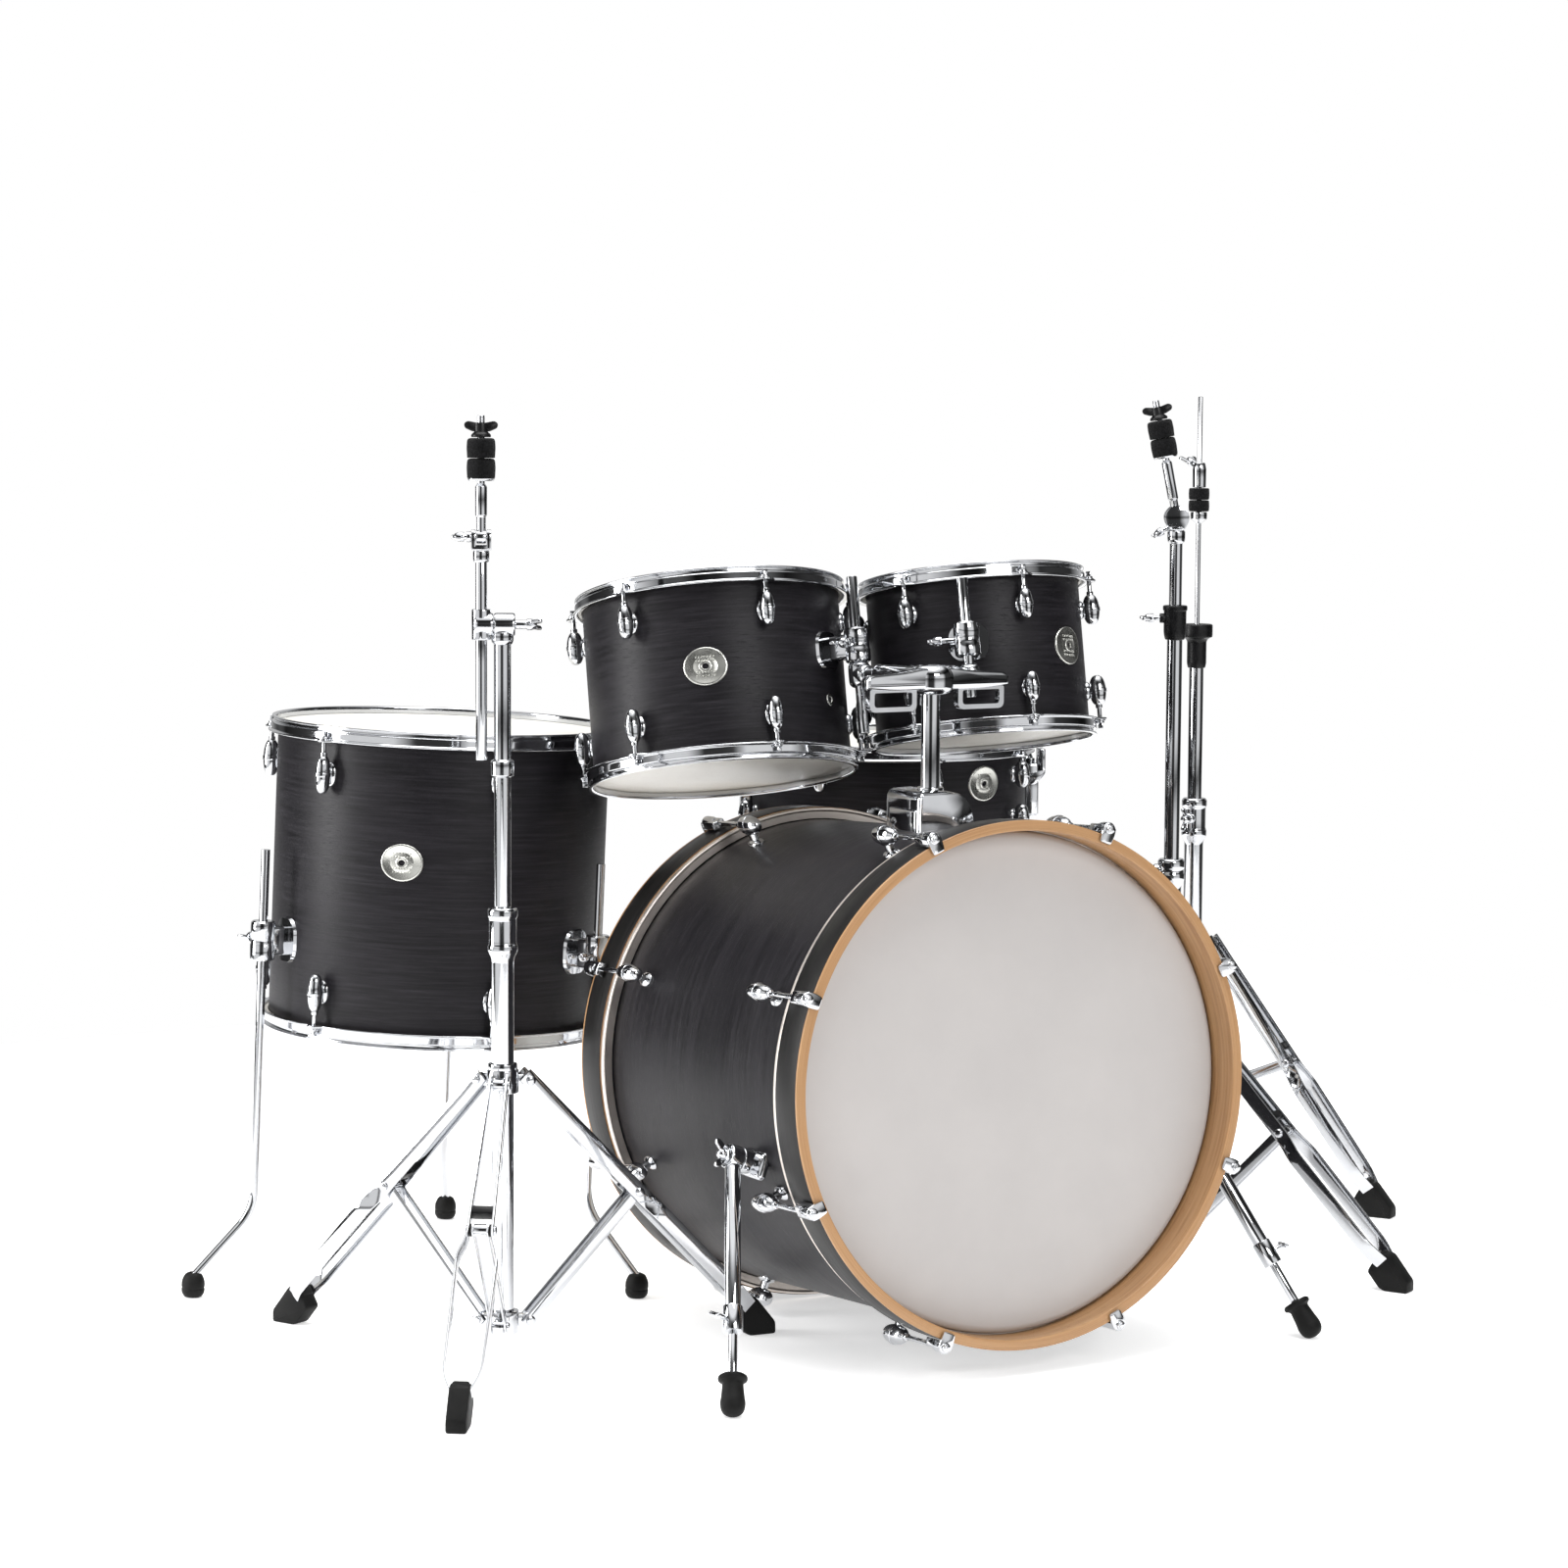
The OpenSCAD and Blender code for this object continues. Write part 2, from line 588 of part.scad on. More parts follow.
module left_mid_tube() color(chrome) boom_frame() difference() {
    union() {
        translate([0, 0, 270]) cylinder(r = mid_tube_r, h = clamp_z - 270);
        translate([-14, 0, clamp_z]) rotate([0, 90, 0]) cylinder(r = 13, h = 23);
        translate([0, 0, 660]) cylinder(r = 13, h = 20);
        translate([-30, 0, clamp_z]) rotate([0, 90, 0]) cylinder(r = 5, h = 18, $fn = 32);
        translate([-38, -14, clamp_z - 4]) cube([9, 28, 8]);
    }
    translate([-6, 0, clamp_z]) rotate([0, 90, 0]) cylinder(r = 5 + run, h = 20);
    translate([0, 0, 260]) cylinder(r = mid_tube_r - tube_wall, h = 380);
}

module left_boom_clamp() color(chrome) boom_frame() difference() {
    union() {
        translate([9.9, 0, clamp_z]) rotate([0, 90, 0]) cylinder(r = 13, h = 21.5);
        translate([-5, 0, clamp_z]) rotate([0, 90, 0]) cylinder(r = 5, h = 16);
    }
    translate([boom_off, 0, clamp_z - 20]) cylinder(r = boom_r + run, h = 40);
}

module left_boom_arm() color(chrome) boom_frame() translate([boom_off, 0, 0]) difference() {
    union() {
        translate([0, 0, boom_low_z]) cylinder(r = boom_r, h = left_tilter_z - 16 - boom_low_z);
        translate([0, 0, left_tilter_z - 26]) cylinder(r = 9, h = 14);
        translate([-11, -8, left_tilter_z - 14]) cube([5, 16, 22]);
        translate([6, -8, left_tilter_z - 14]) cube([5, 16, 22]);
        translate([-11, -8, left_tilter_z - 14]) cube([22, 16, 5]);
        translate([11, 0, left_tilter_z]) rotate([0, 90, 0]) cylinder(r = 6, h = 12);
        translate([22, -12, left_tilter_z - 4]) cube([5, 24, 8]);
    }
    translate([-12, 0, left_tilter_z]) rotate([0, 90, 0]) cylinder(r = 3 + run, h = 24);
}

// Cymbal seat: knuckle, threaded rod, metal washer, felt sleeve and wing nut, above the origin
module cymbal_seat(rod_len, seat_z) {
    rotate([0, 90, 0]) cylinder(r = 7.5, h = 10.8, center = true);
    rotate([0, 90, 0]) cylinder(r = 3, h = 21.6, center = true, $fn = 32);
    cylinder(r = 5.2, h = 24, $fn = 32);
    cylinder(r = 4, h = rod_len, $fn = 32);
    translate([0, 0, 22]) cylinder(r = 6.5, h = seat_z - 35, $fn = 32);
    translate([0, 0, seat_z - 8]) cylinder(r = 14, h = 3);
    translate([0, 0, seat_z - 5]) cylinder(r = 16, h = 44);
    translate([0, 0, seat_z + 45]) cylinder(r = 8, h = 10, $fn = 32);
    translate([-18, -3.5, seat_z + 50]) cube([36, 7, 9]);
}

module left_cymbal_seat() color(black) boom_frame() translate([boom_off, 0, left_tilter_z])
    cymbal_seat(134, 70);

// ---- right cymbal stand -------------------------------------------------

module right_stand_base() color(chrome) right_frame() {
    translate([0, 0, stand_hub_z]) eared_ring(5);
    translate([0, 0, stand_collar_z]) eared_ring(tube_r - 1);
    rotate(seat_turn - right_turn + 90) base_tube(stand_hub_z + 4, right_sleeve, mid_tube_r);
}

module right_stand_legs() color(chrome) right_frame() for (i = [0:2]) rotate(i * 120) {
    tripod_leg(stand_foot_r, stand_collar_z, stand_mid);
    tripod_brace(stand_foot_r, stand_collar_z, stand_hub_z, stand_mid);
}

// Seat frame: local x points to the wing bolts of the right cymbal stand
module seat_frame() kit() translate(right_stand_at) rotate(seat_turn) children();

module right_mid_tube() color(chrome) seat_frame() difference() {
    union() {
        translate([0, 0, 280]) cylinder(r = mid_tube_r, h = right_clamp[0] + 6 - 280);
        translate([0, 0, right_clamp[0]]) cylinder(r = 14, h = right_clamp[1] - right_clamp[0]);
        translate([0, 0, right_clamp[1] - 16]) rotate([0, 90, 0]) cylinder(r = 4, h = 36, $fn = 32);
        translate([34, -12, right_clamp[1] - 20]) cube([6, 24, 8]);
    }
    translate([0, 0, 400]) cylinder(r = right_top_r + run, h = 600);
}

module right_top_tube() color(chrome) seat_frame() difference() {
    union() {
        translate([0, 0, 600]) cylinder(r = right_top_r, h = right_tilter_z - 22 - 600);
        translate([0, 0, right_tilter_z - 30]) cylinder(r = 11, h = 16);
        for (s = [-1, 1]) translate([-8, s * 8.5 - 2.5, right_tilter_z - 14]) cube([16, 5, 24]);
        translate([-8, -11, right_tilter_z - 16]) cube([16, 22, 6]);
        translate([0, -11, right_tilter_z]) rotate([90, 0, 0]) cylinder(r = 6, h = 12);
        translate([-12, -28, right_tilter_z - 4]) cube([24, 6, 8]);
    }
    translate([0, 0, right_tilter_z]) rotate([90, 0, 0]) cylinder(r = 3 + run, h = 24, center = true);
}

module right_cymbal_seat() color(black) seat_frame() translate([0, 0, right_tilter_z])
    rotate([0, right_seat_tilt, 0]) rotate(90) cymbal_seat(147, 83);

// ---- hi-hat stand -------------------------------------------------------

// Direction of the pedal in the hi-hat's own frame
pedal_dir = pedal_turn - hihat_turn;

module hihat_stand_base() color(chrome) hihat_frame() {
    for (i = [0:2]) rotate(i * 120) {
        tripod_leg(hihat_foot_r, hihat_collar_z, hihat_mid);
        tripod_brace(hihat_foot_r, hihat_collar_z, hihat_hub_z, hihat_mid);
    }
    translate([0, 0, hihat_collar_z]) eared_ring(tube_r - 1);
    translate([0, 0, hihat_hub_z]) eared_ring(tube_r - 1);
    rotate(pedal_dir) {
        difference() {
            union() {
                translate([0, 0, hihat_hub_z - 20])
                    cylinder(r = tube_r, h = hihat_sleeve[0] - hihat_hub_z + 30);
                translate([0, 0, hihat_sleeve[0]])
                    cylinder(r = 17, h = hihat_sleeve[1] - hihat_sleeve[0]);
                rotate(90) translate([0, 0, hihat_sleeve[0] + 26]) rotate([0, 90, 0])
                    cylinder(r = 5, h = 34, $fn = 32);
            }
            translate([0, 0, hihat_hub_z + 40]) cylinder(r = mid_tube_r + run, h = 500);
            translate([0, 0, hihat_hub_z - 30]) cylinder(r = hihat_rod_r + run, h = 100, $fn = 32);
        }
        for (s = [-1, 1]) translate([-8, s * 40 - 4, 0]) cube([16, 8, 128]);
        difference() {
            translate([-10, -44, 118]) cube([20, 88, 10]);
            translate([0, 0, 100]) cylinder(r = tube_r - 1, h = 50);
        }
        for (s = [-1, 1]) rod_between([0, s * 40, 6], [pedal_heel - 18, s * 30, 6], 3);
        translate([pedal_heel - 20, -38, 0]) cube([56, 76, 10]);
        for (s = [-1, 1]) translate([pedal_heel - 10, s * 33 - 4, 8]) difference() {
            cube([20, 8, 24]);
            translate([10, 4, pedal_hinge_z - 8]) rotate([90, 0, 0])
                cylinder(r = pin_r + run, h = 20, center = true);
        }
    }
}

module hihat_upper_tube() color(chrome) hihat_frame() difference() {
    union() {
        translate([0, 0, 300]) cylinder(r = mid_tube_r, h = hihat_cup[0] - 300);
        translate([0, 0, hihat_cup[0] - 2]) cylinder(r = 13, h = hihat_cup[1] - hihat_cup[0] + 2);
        translate([0, 0, hihat_cup[1]]) cylinder(r = 21, h = hihat_cup[2] - hihat_cup[1]);
    }
    translate([0, 0, 280]) cylinder(r = mid_tube_r - tube_wall, h = 440);
    translate([0, 0, 280]) cylinder(r = hihat_rod_r + run, h = 600, $fn = 32);
}

module hihat_rod() color(chrome) hihat_frame() {
    translate([0, 0, 104]) cylinder(r = hihat_rod_r, h = hihat_rod_top - 104, $fn = 32);
    translate([0, 0, 922]) cylinder(r = 11, h = 9);
    translate([0, 0, 932]) cylinder(r = 14, h = 31);
    translate([0, 0, 964]) cylinder(r = 9, h = 33);
    rotate(45) translate([0, 0, 986]) rotate([0, 90, 0]) cylinder(r = 4, h = 24, $fn = 32);
    rotate(45) translate([22, -10, 982]) cube([5, 20, 8]);
    translate([0, 0, 96]) cylinder(r = 6, h = 10);
    rotate(pedal_dir) translate([-2, -8, 72]) cube([3, 16, 26]);
}

// Footboard with its hinge pin, sloping from the heel up to the toe
module hihat_footboard() color(chrome) hihat_frame() rotate(pedal_dir)
    translate([pedal_heel, 0, pedal_hinge_z]) {
        rotate([0, atan2(pedal_toe_z - pedal_hinge_z, pedal_heel - 26), 0]) {
            translate([-pedal_heel + 36, -27, 2]) cube([pedal_heel - 40, 54, 6]);
            translate([-6, -27, -4]) cube([12, 54, 8]);
        }
        rotate([90, 0, 0]) cylinder(r = pin_r, h = 76, center = true, $fn = 32);
    }

// ---- snare drum and its stand -------------------------------------------

basket_z = 400;
basket_arm_r = 190;

module snare_stand_base() color(chrome) snare_stand_frame() {
    for (i = [0:2]) rotate(i * 120) {
        tripod_leg(snare_foot_r, snare_collar_z, snare_mid);
        tripod_brace(snare_foot_r, snare_collar_z, snare_hub_z, snare_mid);
    }
    translate([0, 0, snare_collar_z]) eared_ring(tube_r - 1);
    translate([0, 0, snare_hub_z]) eared_ring(5);
    base_tube(snare_hub_z + 4, [320, 360], mid_tube_r);
}

basket_angles = [22.5, 142.5, 262.5];

// Upper tube, basket hub and three arms with rubber-tipped hooks under the rim
module snare_basket() color(chrome) snare_frame() translate([0, 0, -snare_z]) {
    translate([0, 0, 210]) difference() {
        cylinder(r = mid_tube_r, h = basket_z - 210);
        translate([0, 0, -1]) cylinder(r = mid_tube_r - tube_wall, h = basket_z - 230);
    }
    translate([0, 0, basket_z - 20]) cylinder(r = 20, h = 40);
    for (a = basket_angles) rotate(a) {
        rod_between([14, 0, basket_z + 8], [basket_arm_r + 4, 0, snare_z - 16], 6);
        translate([basket_arm_r + 4, 0, snare_z - 16]) sphere(r = 6.6);
        translate([basket_arm_r - 10, -9, snare_z - 12]) cube([28, 18, 11.7]);
        translate([basket_arm_r + 13, -9, snare_z - 6]) cube([5, 18, 26]);
    }
}

module snare_shell() color(ebony) snare_frame() shell_of(snare_r, snare_h);
module snare_heads() color(film) snare_frame() both_ends(snare_h) drum_head(snare_r);
module snare_hoops() color(chrome) snare_frame() both_ends(snare_h)
    steel_hoop(snare_r, 8, snare_lug_turn);
module snare_lugs() color(chrome) snare_frame() both_ends(snare_h)
    lug_ring(snare_r, 8, snare_lug_turn, snare_lug_in, 34);

strainer_turn = -24;

// Throw-off housing, butt plate and the strip of wires under the lower head
module snare_strainer() color(chrome) snare_frame() rotate(strainer_turn) {
    difference() {
        union() {
            translate([snare_r - 2, -14, 34]) cube([20, 28, 68]);
            translate([-snare_r - 14, -12, 34]) cube([16, 24, 40]);
        }
        cylinder(r = snare_r, h = snare_h, $fn = 96);
        translate([snare_r + 8, 0, 80]) rotate([90, 0, 0])
            cylinder(r = 4 + run, h = 40, center = true);
    }
    for (s = [-1, 1]) translate([s * 134 - 8, -22, 5.2]) cube([16, 44, 3]);
    for (k = [-4:4]) translate([-126, k * 4.6, 6.8]) rotate([0, 90, 0])
        cylinder(r = 1.1, h = 252, $fn = 16);
}

module strainer_lever() color(chrome) snare_frame() rotate(strainer_turn)
    translate([snare_r + 8, 0, 80]) {
        rotate([90, 0, 0]) cylinder(r = 4, h = 34, center = true, $fn = 32);
        for (s = [-1, 1]) translate([-4, s * 16.5 - 2, -5]) cube([22, 4, 20]);
        translate([11, -18.5, 11]) cube([7, 37, 31]);
    }

// ---- assembly -----------------------------------------------------------

bass_shell();
bass_hoops();
bass_heads();
bass_lugs();
bass_claws();
spur_brackets();
tom_holder_base();
floor_tom_shell();
floor_tom_heads();
floor_tom_hoops();
floor_tom_lugs();
floor_leg_brackets();
left_stand_base();
right_stand_base();
right_stand_legs();
hihat_stand_base();
snare_stand_base();
spur_left();
spur_right();
tom_post();
tom_holder_head();
tom_arm_left();
tom_arm_right();
large_tom_shell();
large_tom_heads();
large_tom_hoops();
large_tom_lugs();
large_tom_bracket();
small_tom_shell();
small_tom_heads();
small_tom_hoops();
small_tom_lugs();
small_tom_bracket();
floor_leg_1();
floor_leg_2();
floor_leg_3();
left_collar();
left_leg_1();
left_leg_2();
left_leg_3();
left_brace_1();
left_brace_2();
left_brace_3();
left_mid_tube();
left_boom_clamp();
left_boom_arm();
left_cymbal_seat();
right_mid_tube();
right_top_tube();
right_cymbal_seat();
hihat_upper_tube();
hihat_rod();
hihat_footboard();
snare_basket();
snare_shell();
snare_heads();
snare_hoops();
snare_lugs();
snare_strainer();
strainer_lever();
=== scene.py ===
"""Looks of the drum kit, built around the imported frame. Shapes are in millimetres until they become meshes."""

import math

import bmesh
import bpy
from mathutils import Matrix, Vector


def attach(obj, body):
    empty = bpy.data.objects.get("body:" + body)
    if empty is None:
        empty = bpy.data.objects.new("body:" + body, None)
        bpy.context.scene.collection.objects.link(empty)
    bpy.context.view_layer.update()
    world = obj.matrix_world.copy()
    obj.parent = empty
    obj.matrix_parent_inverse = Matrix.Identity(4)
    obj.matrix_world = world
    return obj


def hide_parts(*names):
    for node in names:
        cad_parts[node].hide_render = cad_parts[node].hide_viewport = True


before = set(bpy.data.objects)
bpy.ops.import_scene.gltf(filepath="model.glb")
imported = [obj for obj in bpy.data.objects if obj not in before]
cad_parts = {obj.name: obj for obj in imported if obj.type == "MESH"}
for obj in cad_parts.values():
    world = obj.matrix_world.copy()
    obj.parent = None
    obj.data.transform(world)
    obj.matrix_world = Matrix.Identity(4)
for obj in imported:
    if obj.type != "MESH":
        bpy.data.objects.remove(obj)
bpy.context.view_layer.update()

MM = 0.001
ONE = Matrix()
SMOOTH = math.radians(38)


# ---- placing ------------------------------------------------------------

def shift(x=0.0, y=0.0, z=0.0):
    return Matrix.Translation((x, y, z))


def turn(axis, degrees):
    return Matrix.Rotation(math.radians(degrees), 4, axis)


def flip_z(h):
    """The other end of a drum of length h."""
    return shift(z=h) @ Matrix.Diagonal((1, 1, -1, 1))


def along(d):
    """Turns the z axis into the direction d."""
    d = Vector(d)
    return turn("Z", math.degrees(math.atan2(d.y, d.x))) @ turn("Y", math.degrees(math.acos(d.z / d.length)))


def tilted(t):
    return turn("Z", t[1]) @ turn("Y", t[0]) @ turn("Z", -t[1])


# ---- outlines -----------------------------------------------------------

def rounded(points, radius, closed=True, steps=3):
    """Rounds the corners of an outline. radius is one number, or one for each point."""
    n = len(points)
    radii = radius if isinstance(radius, (list, tuple)) else [radius] * n
    out = []
    for i, p in enumerate(points):
        p = Vector(p)
        if (not closed and i in (0, n - 1)) or radii[i] <= 0:
            out.append(p)
            continue
        a, b = Vector(points[i - 1]) - p, Vector(points[(i + 1) % n]) - p
        if a.length < 1e-6 or b.length < 1e-6 or abs(a.normalized().dot(b.normalized())) > 0.9999:
            out.append(p)
            continue
        cut = min(radii[i], a.length * 0.48, b.length * 0.48)
        start, end = p + a.normalized() * cut, p + b.normalized() * cut
        for k in range(steps + 1):
            t = k / steps
            out.append(start * (1 - t) ** 2 + p * 2 * t * (1 - t) + end * t ** 2)
    return out


# ---- mesh pieces --------------------------------------------------------

blocks = {}


class Piece:
    """One visible piece. Its shapes are added in millimetres, each at its own place."""

    def __init__(self, name, place=ONE):
        self.name, self.place = name, place
        self.verts, self.faces, self.grain = [], [], []

    def add(self, verts, faces, at=ONE, grain=None):
        m = self.place @ at
        base = len(self.verts)
        self.verts.extend(m @ Vector(v) * MM for v in verts)
        self.grain.extend(grain or [Vector(v) * MM for v in verts])
        back = m.determinant() < 0
        for f in faces:
            f = [base + i for i in f]
            self.faces.append(f[::-1] if back else f)

    def lathe(self, outline, at=ONE, seg=48, closed=False, squash=1.0):
        """Turns an outline of (radius, z) points, given from the bottom up, round the z axis."""
        verts, grain, rings, length = [], [], [], 0.0
        for i, (r, z) in enumerate(outline):
            if i:
                length += (Vector(outline[i]) - Vector(outline[i - 1])).length * MM
            count = seg if r > 1e-6 else 1
            rings.append((len(verts), count))
            for k in range(count):
                a = 2 * math.pi * k / seg
                verts.append((r * math.cos(a), r * math.sin(a) * squash, z))
                grain.append(Vector((math.cos(a), math.sin(a), length)))
        pairs = list(zip(rings, rings[1:]))
        if closed:
            pairs.append((rings[-1], rings[0]))
        faces = []
        for (a, na), (b, nb) in pairs:
            for k in range(seg):
                j = (k + 1) % seg
                if na == 1 and nb == 1:
                    continue
                if na == 1:
                    faces.append((a, b + j, b + k))
                elif nb == 1:
                    faces.append((a + k, a + j, b))
                else:
                    faces.append((a + k, a + j, b + j, b + k))
        self.add(verts, faces, at, grain)

    def rod(self, r, z0, z1, at=ONE, seg=32, edge=0.6):
        """A solid round bar from z0 to z1 with softened ends."""
        edge = min(edge, r * 0.45, (z1 - z0) * 0.45)
        self.lathe([(0, z0), (r - edge, z0), (r - edge * 0.3, z0 + edge * 0.3), (r, z0 + edge), (r, z1 - edge),
            (r - edge * 0.3, z1 - edge * 0.3), (r - edge, z1), (0, z1)], at, seg)

    def bar(self, a, b, r, seg=24, edge=0.6):
        d = Vector(b) - Vector(a)
        self.rod(r, 0, d.length, shift(*a) @ along(d), seg, edge)

    def sweep(self, path, r, at=ONE, seg=20):
        """A round bar along a path of points."""
        path = [Vector(p) for p in path]
        verts, faces = [], []
        side = None
        for i, p in enumerate(path):
            d = (path[min(i + 1, len(path) - 1)] - path[max(i - 1, 0)]).normalized()
            if side is None:
                side = d.orthogonal().normalized()
            side = (side - d * side.dot(d)).normalized()
            up = d.cross(side)
            for k in range(seg):
                a = 2 * math.pi * k / seg
                verts.append(p + side * (r * math.cos(a)) + up * (r * math.sin(a)))
        for i in range(len(path) - 1):
            for k in range(seg):
                j = (k + 1) % seg
                faces.append((i * seg + k, i * seg + j, (i + 1) * seg + j, (i + 1) * seg + k))
        faces.append(tuple(range(seg))[::-1])
        faces.append(tuple((len(path) - 1) * seg + k for k in range(seg)))
        self.add(verts, faces, at)

    def block(self, low, high, at=ONE, edge=1.0, steps=2):
        """A box between two corners with rounded edges."""
        size = tuple(round(high[i] - low[i], 4) for i in range(3))
        key = (size, edge, steps)
        if key not in blocks:
            bm = bmesh.new()
            bmesh.ops.create_cube(bm, size=1.0)
            bmesh.ops.scale(bm, vec=size, verts=bm.verts)
            bmesh.ops.bevel(bm, geom=bm.edges[:], offset=min(edge, min(size) * 0.45), segments=steps,
                affect="EDGES", profile=0.5)
            blocks[key] = ([v.co.copy() for v in bm.verts], [[v.index for v in f.verts] for f in bm.faces])
            bm.free()
        centre = [(high[i] + low[i]) / 2 for i in range(3)]
        self.add(*blocks[key], at @ shift(*centre))

    def plate(self, outline, z0, z1, at=ONE, edge=0.5):
        """A flat outline of (x, y) points between two heights, with rounded edges."""
        bm = bmesh.new()
        low = [bm.verts.new((p[0], p[1], z0)) for p in outline]
        high = [bm.verts.new((p[0], p[1], z1)) for p in outline]
        bottom, top = bm.faces.new(low[::-1]), bm.faces.new(high)
        n = len(outline)
        for i in range(n):
            bm.faces.new((low[i], low[(i + 1) % n], high[(i + 1) % n], high[i]))
        bmesh.ops.recalc_face_normals(bm, faces=bm.faces)
        rim = [e for e in bm.edges if (e in bottom.edges) or (e in top.edges)]
        if edge:
            bmesh.ops.bevel(bm, geom=rim, offset=edge, segments=2, affect="EDGES", profile=0.5)
        bm.verts.index_update()
        self.add([v.co.copy() for v in bm.verts], [[v.index for v in f.verts] for f in bm.faces], at)
        bm.free()

    def ring(self, r_in, r_out, z0, z1, at=ONE, seg=48, edge=0.6):
        self.lathe(rounded([(r_out, z0), (r_out, z1), (r_in, z1), (r_in, z0)], edge, steps=2), at, seg, closed=True)

    def turned(self, points, radii, at=ONE, seg=48):
        """A solid turned from an open outline with rounded corners."""
        self.lathe(rounded(points, radii, closed=False), at, seg)

    def made(self, body, slot, material, *nodes, solid=True):
        """Makes the mesh, lets it ride on its body and puts it in the place of its nodes."""
        mesh = bpy.data.meshes.new(self.name)
        mesh.from_pydata(self.verts, [], self.faces)
        if solid:
            bm = bmesh.new()
            bm.from_mesh(mesh)
            bmesh.ops.recalc_face_normals(bm, faces=bm.faces)
            bm.to_mesh(mesh)
            bm.free()
        grain = mesh.attributes.new("grain", "FLOAT_VECTOR", "POINT")
        grain.data.foreach_set("vector", [c for g in self.grain for c in g])
        mesh.materials.append(material)
        mesh.validate()
        mesh.shade_smooth()
        mesh.set_sharp_from_angle(angle=SMOOTH)
        o = bpy.data.objects.new(self.name, mesh)
        bpy.context.scene.collection.objects.link(o)
        bpy.context.view_layer.update()
        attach(o, body)
        if nodes:
            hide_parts(*nodes)

    def chromed(self, body, *nodes):
        self.made(body, "chrome_steel", CHROME, *nodes)


# ---- materials ----------------------------------------------------------

class Shader:
    """Small wrapper that builds one node material."""

    def __init__(self, name, color, roughness, metallic=0.0, **sockets):
        self.mat = bpy.data.materials.new(name)
        self.mat.use_nodes = True
        self.tree = self.mat.node_tree
        self.bsdf = self.tree.nodes["Principled BSDF"]
        self.bsdf.inputs["Base Color"].default_value = (*color, 1)
        self.bsdf.inputs["Roughness"].default_value = roughness
        self.bsdf.inputs["Metallic"].default_value = metallic
        for k, v in sockets.items():
            self.bsdf.inputs[k.replace("_", " ")].default_value = v

    def node(self, kind, **inputs):
        n = self.tree.nodes.new(kind)
        for k, v in inputs.items():
            self.put(n, k.replace("_", " "), v)
        return n

    def put(self, n, socket, v):
        target = n.inputs[int(socket)] if socket.isdigit() else n.inputs[socket]
        if isinstance(v, bpy.types.NodeSocket):
            self.tree.links.new(v, target)
        else:
            target.default_value = v

    def place(self, attribute=None):
        if attribute:
            n = self.node("ShaderNodeAttribute")
            n.attribute_name = attribute
            return n.outputs["Vector"]
        return self.node("ShaderNodeTexCoord").outputs["Object"]

    def noise(self, at, scale, detail=4.0, rough=0.6):
        m = self.node("ShaderNodeMapping", Vector=at, Scale=scale if isinstance(scale, tuple) else (scale,) * 3)
        return self.node("ShaderNodeTexNoise", Vector=m.outputs[0], Scale=1.0, Detail=detail,
            Roughness=rough).outputs[0]

    def fit(self, value, a, b, low, high):
        n = self.node("ShaderNodeMapRange")
        for k, v in zip((0, 1, 2, 3, 4), (value, a, b, low, high)):
            self.put(n, str(k), v)
        return n.outputs[0]

    def ramp(self, value, *stops):
        n = self.node("ShaderNodeValToRGB", Fac=value)
        band = n.color_ramp
        while len(band.elements) < len(stops):
            band.elements.new(0.5)
        for e, (at, color) in zip(band.elements, stops):
            e.position, e.color = at, (*color, 1)
        return n.outputs[0]

    def mix(self, fac, a, b, blend="MIX"):
        n = self.tree.nodes.new("ShaderNodeMix")
        n.data_type, n.blend_type = "RGBA", blend
        for k, v in ((0, fac), (6, a), (7, b)):
            self.put(n, str(k), (*v, 1) if isinstance(v, tuple) and len(v) == 3 else v)
        return n.outputs[2]

    def times(self, a, b, how="MULTIPLY"):
        n = self.tree.nodes.new("ShaderNodeMath")
        n.operation = how
        self.put(n, "0", a)
        self.put(n, "1", b)
        return n.outputs[0]

    def bump(self, height, strength, distance):
        n = self.node("ShaderNodeBump", Strength=strength, Distance=distance, Height=height)
        self.put(self.bsdf, "Normal", n.outputs[0])

    def set(self, socket, v):
        self.put(self.bsdf, socket, v)


def stained_wood(name):
    """Black stained open-grain wood; the grain runs round the drum."""
    s = Shader(name, (0.015, 0.014, 0.016), 0.42, Specular_IOR_Level=0.19)
    at = s.place("grain")
    broad = s.noise(at, (1.6, 1.6, 38.0), 3.0, 0.5)
    streak = s.noise(at, (2.6, 2.6, 330.0), 6.0, 0.62)
    pore = s.noise(at, (11.0, 11.0, 1150.0), 4.0, 0.55)
    fine = s.noise(at, (26.0, 26.0, 2600.0), 2.0, 0.5)
    wood = s.ramp(streak, (0.30, (0.0045, 0.0042, 0.005)), (0.50, (0.010, 0.0092, 0.0112)),
        (0.66, (0.018, 0.0165, 0.0198)),
        (0.78, (0.031, 0.028, 0.033)))
    wood = s.mix(s.fit(broad, 0.35, 0.7, 0.0, 0.45), wood, (0.017, 0.0152, 0.0188))
    pores = s.fit(pore, 0.60, 0.70, 0.0, 1.0)
    wood = s.mix(s.times(pores, 0.55), wood, (0.006, 0.006, 0.007))
    s.set("Base Color", wood)
    s.set("Roughness", s.fit(s.times(streak, fine, "ADD"), 0.7, 1.3, 0.34, 0.48))
    s.bump(s.times(s.times(pores, -1.0), s.times(streak, 0.5), "ADD"), 0.35, 0.0003)
    return s.mat


